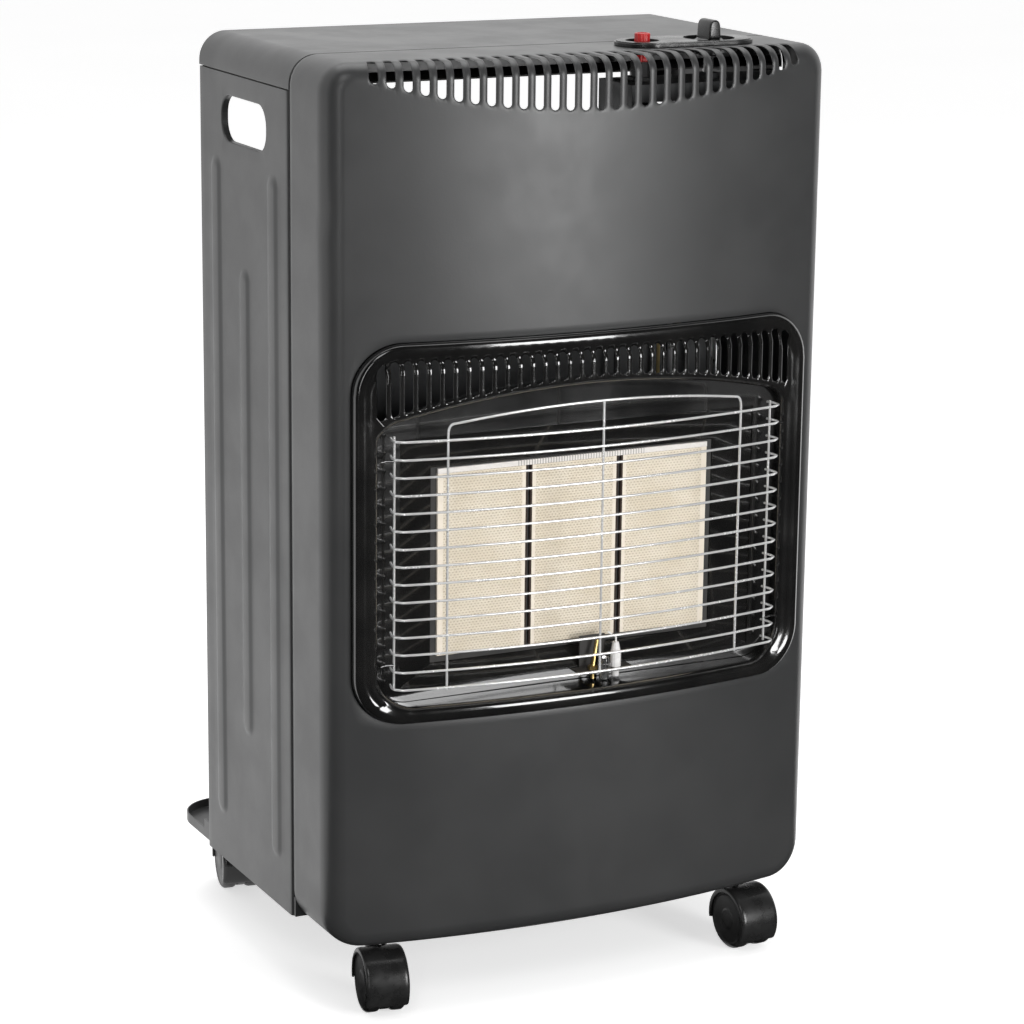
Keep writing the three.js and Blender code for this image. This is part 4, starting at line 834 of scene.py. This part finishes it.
sidePanel = {
    "lowZ": cabinet["baseZ"],
    "edge": 2.2,
    "setBack": 2.4,
    "topGap": 0.7,
    "frontFold": 28,
    "rearFold": 14,
    "beadY": (32.5, 90, 147.5),
    "beadLowZ": (100, 183, 100),
    "beadDrop": (92, 172, 92),
    "beadHalf": 11,
    "beadFlat": 4.5,
    "beadRise": 1.5,
    "holeY": 90,
    "holeDrop": 61,
    "holeLength": 89.6,
    "holeHeight": 35.6,
    "holeRadius": 15.8,
    "lip": 5.5,
    "lipTurn": 1.2,
}


def beadRise(y, z):
    # three raised ribs with round ends: full height inside the flat, easing to nothing at the half width
    p, rise = sidePanel, 0
    for centre, low, drop in zip(p["beadY"], p["beadLowZ"], p["beadDrop"]):
        high = cabinet["topZ"] - drop
        past = z - np.clip(z, low + p["beadHalf"], high - p["beadHalf"])
        away = np.hypot(y - centre, past)
        rise = rise + p["beadRise"] * smooth((p["beadHalf"] - away) / (p["beadHalf"] - p["beadFlat"]))
    return rise


def makeSidePanel(name, side):
    # s runs from the front fold, round the edge, over the wall and round to the rear fold; z is the other way
    p, half, depth = sidePanel, cabinet["half"], cabinet["depth"]
    e = p["edge"]
    holeZ = cabinet["topZ"] - p["holeDrop"]
    h0, h1 = p["holeY"] - p["holeLength"] / 2 - p["lipTurn"], p["holeY"] + p["holeLength"] / 2 + p["lipTurn"]
    v0, v1 = holeZ - p["holeHeight"] / 2 - p["lipTurn"], holeZ + p["holeHeight"] / 2 + p["lipTurn"]
    r = p["holeRadius"] + p["lipTurn"]
    offsets = np.array([-11, -9.6, -8.3, -7, -5.8, -4.5, 0, 4.5, 5.8, 7, 8.3, 9.6, 11])
    lines = np.concatenate([offsets + c for c in p["beadY"]])
    lines = np.concatenate([lines, np.linspace(h0, h0 + r, 7), np.linspace(h1 - r, h1, 7), [70, 90, 110]])
    first = p["setBack"] + e
    wallY = np.unique(np.round(np.clip(lines, first, depth - e), 3))
    wallY = np.unique(np.concatenate([[first, 8, 14, 45, 61, 75, 104, 118, 135, 165, 172, depth - e], wallY]))
    turn = np.linspace(0, np.pi / 2, 6)[:-1]
    frontX = np.concatenate([[half - p["frontFold"], half - e - 6], half - e + e * np.sin(turn)])
    frontY = p["setBack"] + np.concatenate([[0, 0], e - e * np.cos(turn)])
    rearX = np.concatenate([half - e + e * np.cos(np.linspace(0, np.pi / 2, 6)[1:]), [half - p["rearFold"]]])
    rearY = np.concatenate([depth - e + e * np.sin(np.linspace(0, np.pi / 2, 6)[1:]), [depth]])
    flat = np.repeat([False, True, False], [len(frontX), len(wallY), len(rearX)])
    sx = np.concatenate([frontX, np.full(len(wallY), half), rearX])
    sy = np.concatenate([frontY, wallY, rearY])
    ends = [cabinet["topZ"] - d for d in p["beadDrop"][:2]]
    low = [z + o for z in p["beadLowZ"][:2] for o in (-1, 0, 1.5, 3, 4.5, 6, 7.5, 9, 11, 13)]
    top = [z - o for z in ends for o in (-1, 0, 1.5, 3, 4.5, 6, 7.5, 9, 11, 13)]
    hole = np.concatenate([np.linspace(v0, v0 + r, 7), np.linspace(v1 - r, v1, 7)])
    rows = np.concatenate([[p["lowZ"], 70, 85, 140, 240, 300, 360, 420, 480, 600], low, top, hole,
                           [cabinet["seamZ"] - 8, cabinet["seamZ"] - p["topGap"]]])
    rows = np.unique(np.round(rows, 3))[::-1]
    y, z = np.broadcast_to(sy, (len(rows), len(sy))).copy(), np.repeat(rows[:, None], len(sy), 1)
    x = np.broadcast_to(sx, y.shape).copy()
    inWall = np.broadcast_to(flat, y.shape)
    midS, midZ = (sy[1:] + sy[:-1]) / 2, (rows[1:] + rows[:-1]) / 2
    across = (midS > h0) & (midS < h1) & flat[1:] & flat[:-1]
    opening = across[None] & ((midZ > v0) & (midZ < v1))[:, None]
    for su, cu in ((-1, h0 + r), (1, h1 - r)):
        for sv, cv in ((-1, v0 + r), (1, v1 - r)):
            my, mz = cornerMap(y, z, cu, cv, r, su, sv, 1.6, 1.6)
            y, z = np.where(inWall, my, y), np.where(inWall, mz, z)
    x = x + np.where(inWall, beadRise(y, z), 0)
    points = np.stack([x, y, z], -1)
    patches = [(points, ~opening)]
    # the handle hole: its rim rolls in, then runs inwards as a lip
    c0, c1 = np.flatnonzero(flat)[0] + np.searchsorted(wallY, [h0 - 1e-3, h1 - 1e-3])
    r0, r1 = [int(np.argmin(np.abs(rows - v))) for v in (v1, v0)]
    loop = np.concatenate([points[r0, c0:c1], points[r0:r1, c1], points[r1, c1:c0:-1], points[r1:r0:-1, c0]])
    n = ringNormals(loop[:, 1:])
    t = np.linspace(0, np.pi / 2, 6)[:, None]
    into = np.concatenate([p["lipTurn"] * np.sin(t), [[p["lipTurn"]]]])
    deep = np.concatenate([p["lipTurn"] * (1 - np.cos(t)), [[p["lip"]]]])
    rim = np.stack([loop[:, 0] - deep, loop[:, 1] - n[:, 0] * into, loop[:, 2] - n[:, 1] * into], -1)
    patches.append((np.concatenate([rim, rim[:, :1]], 1), None))
    patches = [(np.asarray(q) * [side, 1, 1], keep) for q, keep in patches]
    return toObject(name, patches, (0, 90, 380), wall=cabinet["sheet"], bevel=0.25, sharp=40)


for side, word in ((-1, "left"), (1, "right")):
    place(makeSidePanel("sidePanelSkin_" + word, side), "cabinet", "charcoal_paint", "side_panel_" + word)
print("stage: side panels")


# ---- sheets kept from the frame, with their edges rounded ----


def refine(node, name, bevel):
    # a merged copy of a frame solid with its edges rounded; a sheet with slots keeps its triangles
    mesh = nodes[node].data.copy()
    bm = bmesh.new()
    bm.from_mesh(mesh)
    bmesh.ops.remove_doubles(bm, verts=bm.verts, dist=2e-6)
    if node != "rear_cover":
        bmesh.ops.dissolve_limit(bm, angle_limit=math.radians(0.6), verts=bm.verts, edges=bm.edges)
    bm.to_mesh(mesh)
    bm.free()
    return finishMesh(linked(name, mesh), bevel=bevel, ease=32, weighted=True)


roundedSheets = {
    "top_cover": ("charcoal_paint", 0.5),
    "base_tray": ("charcoal_paint", 0.5),
    "rear_cover": ("soot_black", 0.4),
    "heat_shield": ("galvanised", 0.4),
    "burner_housing": ("black_enamel", 0.4),
    "control_bezel": ("black_plastic", 0.6),
    "pilot_bracket": ("soot_black", 0.3),
    "pilot_burner": ("steel", 0.4),
}

for node, (slotName, bevel) in roundedSheets.items():
    body = "rear_cover" if node == "rear_cover" else "cabinet"
    place(refine(node, node + "Rounded", bevel), body, slotName, node)
print("stage: rounded sheets")


# ---- wire guard ----

guard = {
    "radius": 0.95,
    "levels": 15,
    "pitch": 13.58,
    "lowZ": 265.8,
    "half": 161,
    "frontY": -108.1,
    "bow": 16.7,
    "turnBack": 17,
    "bulge": 3,
    "postX": 124.4,
    "crown": 21,
    "crownDrop": 10,
    "hookTo": 171.6,
}


def guardY(x):
    # the level wires bow forward as a parabola
    return guard["frontY"] + guard["bow"] * (x / guard["half"]) ** 2


def makeGuard():
    g = guard
    topZ = g["lowZ"] + (g["levels"] - 1) * g["pitch"]
    xs = np.linspace(-1, 1, 33) * (g["half"] - 3)
    endY = guardY(g["half"])
    turned = lambda side: np.array([
        (side * g["half"], endY + g["turnBack"]),
        (side * (g["half"] + g["bulge"]), endY + g["turnBack"] * 0.45),
        (side * (g["half"] + 1), endY - 0.4),
    ])
    bend = lambda side: roundedPath(np.column_stack([turned(side), [0, 0, 0]]), 7, 6)[:, :2]
    flat = np.concatenate([bend(-1)[:-1], np.column_stack([xs, guardY(xs)]), bend(1)[-2::-1]])
    patches = []
    for k in range(g["levels"]):
        path = np.column_stack([flat, np.full(len(flat), g["lowZ"] + k * g["pitch"])])
        patches.append(sweep(path, g["radius"], 10))
    rise = np.linspace(-0.93, 0.93, 17)
    crownZ = topZ + g["crown"] - g["crownDrop"] * rise**2
    x = rise * g["postX"]
    behind = lambda x: guardY(x) + 2 * g["radius"]
    low, shoulder = g["lowZ"] - 2, topZ + g["crown"] - g["crownDrop"] * 0.98
    corner = lambda side: np.array([
        (side * g["postX"], behind(g["postX"]), low),
        (side * g["postX"], behind(g["postX"]), shoulder),
        (side * 0.93 * g["postX"], behind(0.93 * g["postX"]), crownZ[0]),
    ])
    left = roundedPath(corner(-1), 8, 7)[:-1]
    right = roundedPath(corner(1), 8, 7)[:-1][::-1]
    arch = np.concatenate([left, np.column_stack([x, behind(x), crownZ]), right])
    patches.append(sweep(arch, g["radius"], 10, up=(0, 1, 0.02)))
    middle = np.array([(0, behind(0), low), (0, behind(0), 360), (0, behind(0), topZ + g["crown"])])
    patches.append(sweep(middle, g["radius"], 10, up=(0, 1, 0.02)))
    postY, hooks = endY + g["turnBack"] * 0.7, []
    for side in (-1, 1):
        x = side * (g["half"] - 0.6)
        post = np.array([(x, postY, low), (x, postY, 360), (x, postY, topZ + 2)])
        patches.append(sweep(post, g["radius"], 10, up=(0, 1, 0.02)))
        for z in (low + g["pitch"] + 5, topZ - g["pitch"] - 3):
            midHook = (side * (g["half"] + 6), postY, z + 0.6)
            hook = np.array([(x, postY, z), midHook, (side * g["hookTo"], postY, z)])
            hooks.append(sweep(hook, 1.1, 8))
    return toObject("wireGuardRound", patches, None, sharp=60), toObject("guardHooks", hooks, None, sharp=60)


for piece, slotName in zip(makeGuard(), ("chrome", "black_enamel")):
    place(piece, "cabinet", slotName, "wire_guard", "guard_frame")
print("stage: wire guard")


# ---- knob and igniter button ----

knob = {
    "x": 124,
    "y": -33,
    "width": 10,
    "length": 20,
    "lowZ": cabinet["topZ"] + 3.4,
    "highZ": cabinet["topZ"] + 17.8,
    "skirt": 17.5,
    "corner": 1.6,
    "brow": 5.5,
}


def makeKnob():
    # fin: a profile of width and height, round at the top, carried along its length; skirt: a turned dish
    k = knob
    w = k["width"] / 2
    foot, crest = w * 1.06, w * 0.9
    outline = roundedProfile([
        (-foot, k["lowZ"]), (-crest, k["highZ"]), (crest, k["highZ"]), (foot, k["lowZ"]),
    ], k["brow"], 8)
    outline = np.concatenate([outline, outline[:1]])
    t = np.linspace(0, np.pi / 2, 6)
    inset = np.concatenate([k["corner"] * (1 - np.sin(t)), k["corner"] * (1 - np.sin(t[::-1]))])
    along = np.concatenate([-k["length"] / 2 + k["corner"] * (1 - np.cos(t)),
                            k["length"] / 2 - k["corner"] * (1 - np.cos(t[::-1]))])
    midZ = (k["lowZ"] + k["highZ"]) / 2
    shrinkX = 1 - inset / w
    shrinkZ = 1 - inset / (k["highZ"] - midZ)
    x = k["x"] + outline[None, :, 0] * shrinkX[:, None]
    z = midZ + (outline[None, :, 1] - midZ) * shrinkZ[:, None]
    y = np.broadcast_to((k["y"] + along)[:, None], x.shape)
    shell = np.stack([x, y, z], -1)
    hub = lambda row: np.broadcast_to([k["x"], row[0, 1], midZ], row.shape)[None]
    fin = np.concatenate([hub(shell[0]), shell, hub(shell[-1])])
    low = cabinet["topZ"] - 9.6
    dish = roundedProfile([(0, k["lowZ"] + 0.4), (9, k["lowZ"] + 0.2), (13, k["lowZ"] - 2.6),
                           (k["skirt"], k["lowZ"] - 3.4), (k["skirt"], k["lowZ"] - 6), (9.8, k["lowZ"] - 6),
                           (9.8, low), (4.4, low)], 1.2, 4)
    skirt, _ = lathe(dish, (k["x"], k["y"], 0), "z", 48)
    return toObject("knobFin", [(fin, None), (skirt, None)], None, sharp=50)


button = {"x": 66, "y": -33, "radius": 6, "ribs": 14, "ribDepth": 0.38, "drop": 3.6, "round": 1.0}


def makeButton():
    # radius follows a cosine of the turn for the ribs, and dies away on the rounded top
    b = button
    top = cabinet["topZ"] + 13 - b["drop"]
    low = cabinet["topZ"] - 15.6
    t = np.linspace(0, np.pi / 2, 5)
    radii = np.concatenate([[0.01], np.full(3, b["radius"]), b["radius"] - b["round"] * (1 - np.cos(t)),
                            [4.4, 4.1, 2, 0.01]])
    heights = np.concatenate([[low, low], [low + 12, top - b["round"]], top - b["round"] * (1 - np.sin(t)),
                              [top, top - 0.35, top - 0.5, top - 0.55]])
    turn = np.linspace(0, 2 * np.pi, b["ribs"] * 8 + 1)
    ribbed = np.concatenate([[0, 1, 1, 1], np.cos(t), np.zeros(4)])
    r = radii[:, None] - b["ribDepth"] * (0.5 - 0.5 * np.cos(b["ribs"] * turn)) * ribbed[:, None]
    turn = np.where(turn > 2 * np.pi - 1e-6, 0, turn)
    points = np.stack([b["x"] + r * np.cos(turn), b["y"] + r * np.sin(turn),
                       np.broadcast_to(heights[:, None], r.shape)], -1)
    return toObject("igniterCap", [(points, None)], (b["x"], b["y"], (top + low) / 2), sharp=45)


place(makeKnob(), "knob", "black_plastic", "control_knob")
place(makeButton(), "igniter_button", "red_plastic", "igniter_button")
print("stage: knob and button")


# ---- castors ----

castor = {
    "radius": 24.5,
    "width": 11,
    "spread": 10.2,
    "hood": 26.4,
    "hoodHalf": 17.2,
    "hoodSpan": (-13, 213),
    "trail": 15,
    "neck": 7,
    "neckTopZ": 56 - 4.6,
    "places": {
        "front_left": (-160, -46, -10),
        "front_right": (160, -46, 3),
        "rear_left": (-160, 252, -10),
        "rear_right": (160, 252, 6),
    },
}


def turned(points, spot):
    # turns points about the stem by the swivel angle, then moves them to the stem's place
    x, y, angle = spot
    a = math.radians(angle)
    px, py = points[..., 0], points[..., 1]
    return np.stack([x + px * math.cos(a) - py * math.sin(a), y + px * math.sin(a) + py * math.cos(a),
                     points[..., 2]], -1)


def makeWheel(name, spot, side):
    # a profile of radius and width turned about the axle: rolled tread, dished face, raised hub cap
    c = castor
    w, r = c["width"] / 2, c["radius"]
    profile = roundedProfile([(0.02, -w), (r - 0.8, -w), (r, -w + 2), (r, w - 2.2), (r - 2.2, w), (r - 4, w),
                              (r - 4.8, w - 0.4), (8.5, w - 0.6), (7.6, w - 0.1), (0.02, w)], 1.0, 4)
    points, _ = lathe(profile * [1, side], (side * c["spread"], -c["trail"], r), "x", 48)
    return toObject(name, [(turned(points, spot), None)], None, sharp=40)


def makeHood(name, spot):
    # a cap section carried round the axle from the front lip over the top to the tail, with a web and a neck
    c = castor
    h, w = c["hood"], c["hoodHalf"]
    cap = roundedProfile([(w, h - 5.2), (w, h), (-w, h), (-w, h - 5.2)], 4.2, 7)
    turn = np.linspace(*np.radians(c["hoodSpan"]), 40)
    y = cap[:, 1:2] * np.cos(turn)
    z = cap[:, 1:2] * np.sin(turn)
    x = np.broadcast_to(cap[:, :1], y.shape)
    shell = np.stack([x, y - c["trail"], z + c["radius"]], -1)
    shroud = toObject(name, [(turned(shell, spot), None)], None, wall=1.2, bevel=0.35, sharp=45)
    disc = roundedProfile([(0.02, -3.2), (h - 3.4, -3.2), (h - 3.4, 3.2), (0.02, 3.2)], 0.4, 3)
    web, _ = lathe(disc, (0, -c["trail"], c["radius"]), "x", 40)
    top = c["neckTopZ"]
    collar = roundedProfile([(0.02, 30), (c["neck"] + 1.6, 30), (c["neck"] + 1.6, h + c["radius"] - 3),
                             (c["neck"], h + c["radius"] + 1), (c["neck"], top), (4.4, top)], 0.8, 4)
    neck, _ = lathe(collar, (0, 0, 0), "z", 32)
    inner = toObject(name + "Inner", [(turned(web, spot), None), (turned(neck, spot), None)], None, sharp=45)
    return shroud, inner


for spotName, spot in castor["places"].items():
    for part in makeHood("castorHood_" + spotName, spot):
        place(part, "castor_" + spotName, "black_plastic", "castor_hood_" + spotName)
    for side, word in ((-1, "left"), (1, "right")):
        piece = makeWheel(f"castorWheel_{spotName}_{word}", spot, side)
        place(piece, f"wheel_{spotName}_{word}", "rubber", f"castor_wheel_{spotName}_{word}")
print("stage: castors")


# ---- floor, background, lights and camera ----


def softLight(name, position, target, size, power):
    lamp = bpy.data.lights.new(name, "AREA")
    lamp.shape = "RECTANGLE"
    lamp.size, lamp.size_y = size
    lamp.energy = power
    holder = linked(name, lamp)
    holder.location = position
    holder.rotation_euler = (Vector(target) - Vector(position)).to_track_quat("-Z", "Y").to_euler()


def shownRays(tree):
    # 1 for what the camera, a mirror or glass shows, 0 for the light that falls on things
    rays = tree.nodes.new("ShaderNodeLightPath")
    seen = Signal(tree, rays.outputs["Is Camera Ray"])
    mirrored = Signal(tree, rays.outputs["Is Glossy Ray"])
    through = Signal(tree, rays.outputs["Is Transmission Ray"])
    return seen.math("MAXIMUM", seen.math("MAXIMUM", seen, mirrored), through)


def makeFloor(lift):
    reach = 40.0
    mesh = bpy.data.meshes.new("floor")
    corners = [(-reach, -reach, 0), (reach, -reach, 0), (reach, reach, 0), (-reach, reach, 0)]
    mesh.from_pydata(corners, [], [(0, 1, 2, 3)])
    floor = linked("floor", mesh)
    f = Finish("floorPaint", Metallic=0.0, Specular_IOR_Level=0.1, Emission_Strength=1.0)
    patch = f.noise(700, 2)
    f.set(Base_Color=f.between(f.spread(patch, 0, 1), tone(0.88), tone(0.91)))
    f.set(Roughness=f.spread(patch, 0.9, 1.0))
    f.set(Emission_Color=f.between(shownRays(f.tree), tone(0), tone(lift)))
    floor.data.materials.append(f.material)
    floor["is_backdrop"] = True


def makeBackground(level):
    world = bpy.data.worlds.new("studio")
    world.use_nodes = True
    bpy.context.scene.world = world
    tree = world.node_tree
    background = tree.nodes["Background"]
    background.inputs["Color"].default_value = tone(1.0)
    plug(tree, background.inputs["Strength"], shownRays(tree) * (1 - level) + level)


def makeFlag():
    # a dark felt screen in front, which only reflections show: a profile turned 160 degrees about the cabinet
    profile = roundedProfile([(0.12, 0.004), (4.6, 0.004), (4.6, 2.6), (3.4, 4.6), (0.8, 5.4)], 0.5)
    points, _ = lathe(profile * 1000, (0, -seamY, 0), "z", 24, math.radians(190), math.radians(350))
    flag = toObject("frontFlag", [(points, None)], None)
    f = Finish("blackFelt", Metallic=0.0, Roughness=1.0, Specular_IOR_Level=0.0)
    f.set(Base_Color=f.between(f.noise(300, 2), tone(0.008), tone(0.016)))
    flag.data.materials.append(f.material)
    for kind in ("camera", "diffuse", "transmission", "volume_scatter", "shadow"):
        setattr(flag, "visible_" + kind, False)
    flag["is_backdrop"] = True


makeFloor(0.58)
makeBackground(0.42)
makeFlag()
softLight("frontBox", (1.1, -3.0, 0.8), (0, 0, 0.45), (0.9, 1.5), 58)
softLight("keyLight", (-1.7, -2.4, 2.9), (0, 0, 0.4), (1.2, 1.2), 16)
softLight("leftStrip", (-2.0, -3.0, 0.9), (0, 0, 0.45), (0.24, 1.7), 11)
softLight("topLight", (0.2, 0.5, 3.0), (0, 0, 0.4), (2.4, 2.4), 36)

view = {
    "position": (-1.1325, -2.3049, 0.9938),
    "azimuth": 26.499,
    "pitch": 14.116,
    "roll": 0.637,
    "lens": 115.26,
}


def makeCamera():
    turn, dip, roll = (math.radians(view[k]) for k in ("azimuth", "pitch", "roll"))
    forward = Vector((math.sin(turn) * math.cos(dip), math.cos(turn) * math.cos(dip), -math.sin(dip)))
    level = Vector((math.cos(turn), -math.sin(turn), 0))
    lift = level.cross(forward)
    right = level * math.cos(roll) + lift * math.sin(roll)
    up = lift * math.cos(roll) - level * math.sin(roll)
    data = bpy.data.cameras.new("camera")
    data.lens = view["lens"]
    data.sensor_width = 36
    camera = linked("camera", data)
    aimed = Matrix((right, up, -forward)).transposed().to_4x4()
    camera.matrix_world = Matrix.Translation(view["position"]) @ aimed
    bpy.context.scene.camera = camera


makeCamera()
bpy.context.scene.view_settings.view_transform = "Standard"
sizes = {"cad": cadBox, "visual": [list(corner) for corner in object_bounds()]}
print("stage: camera and lights")
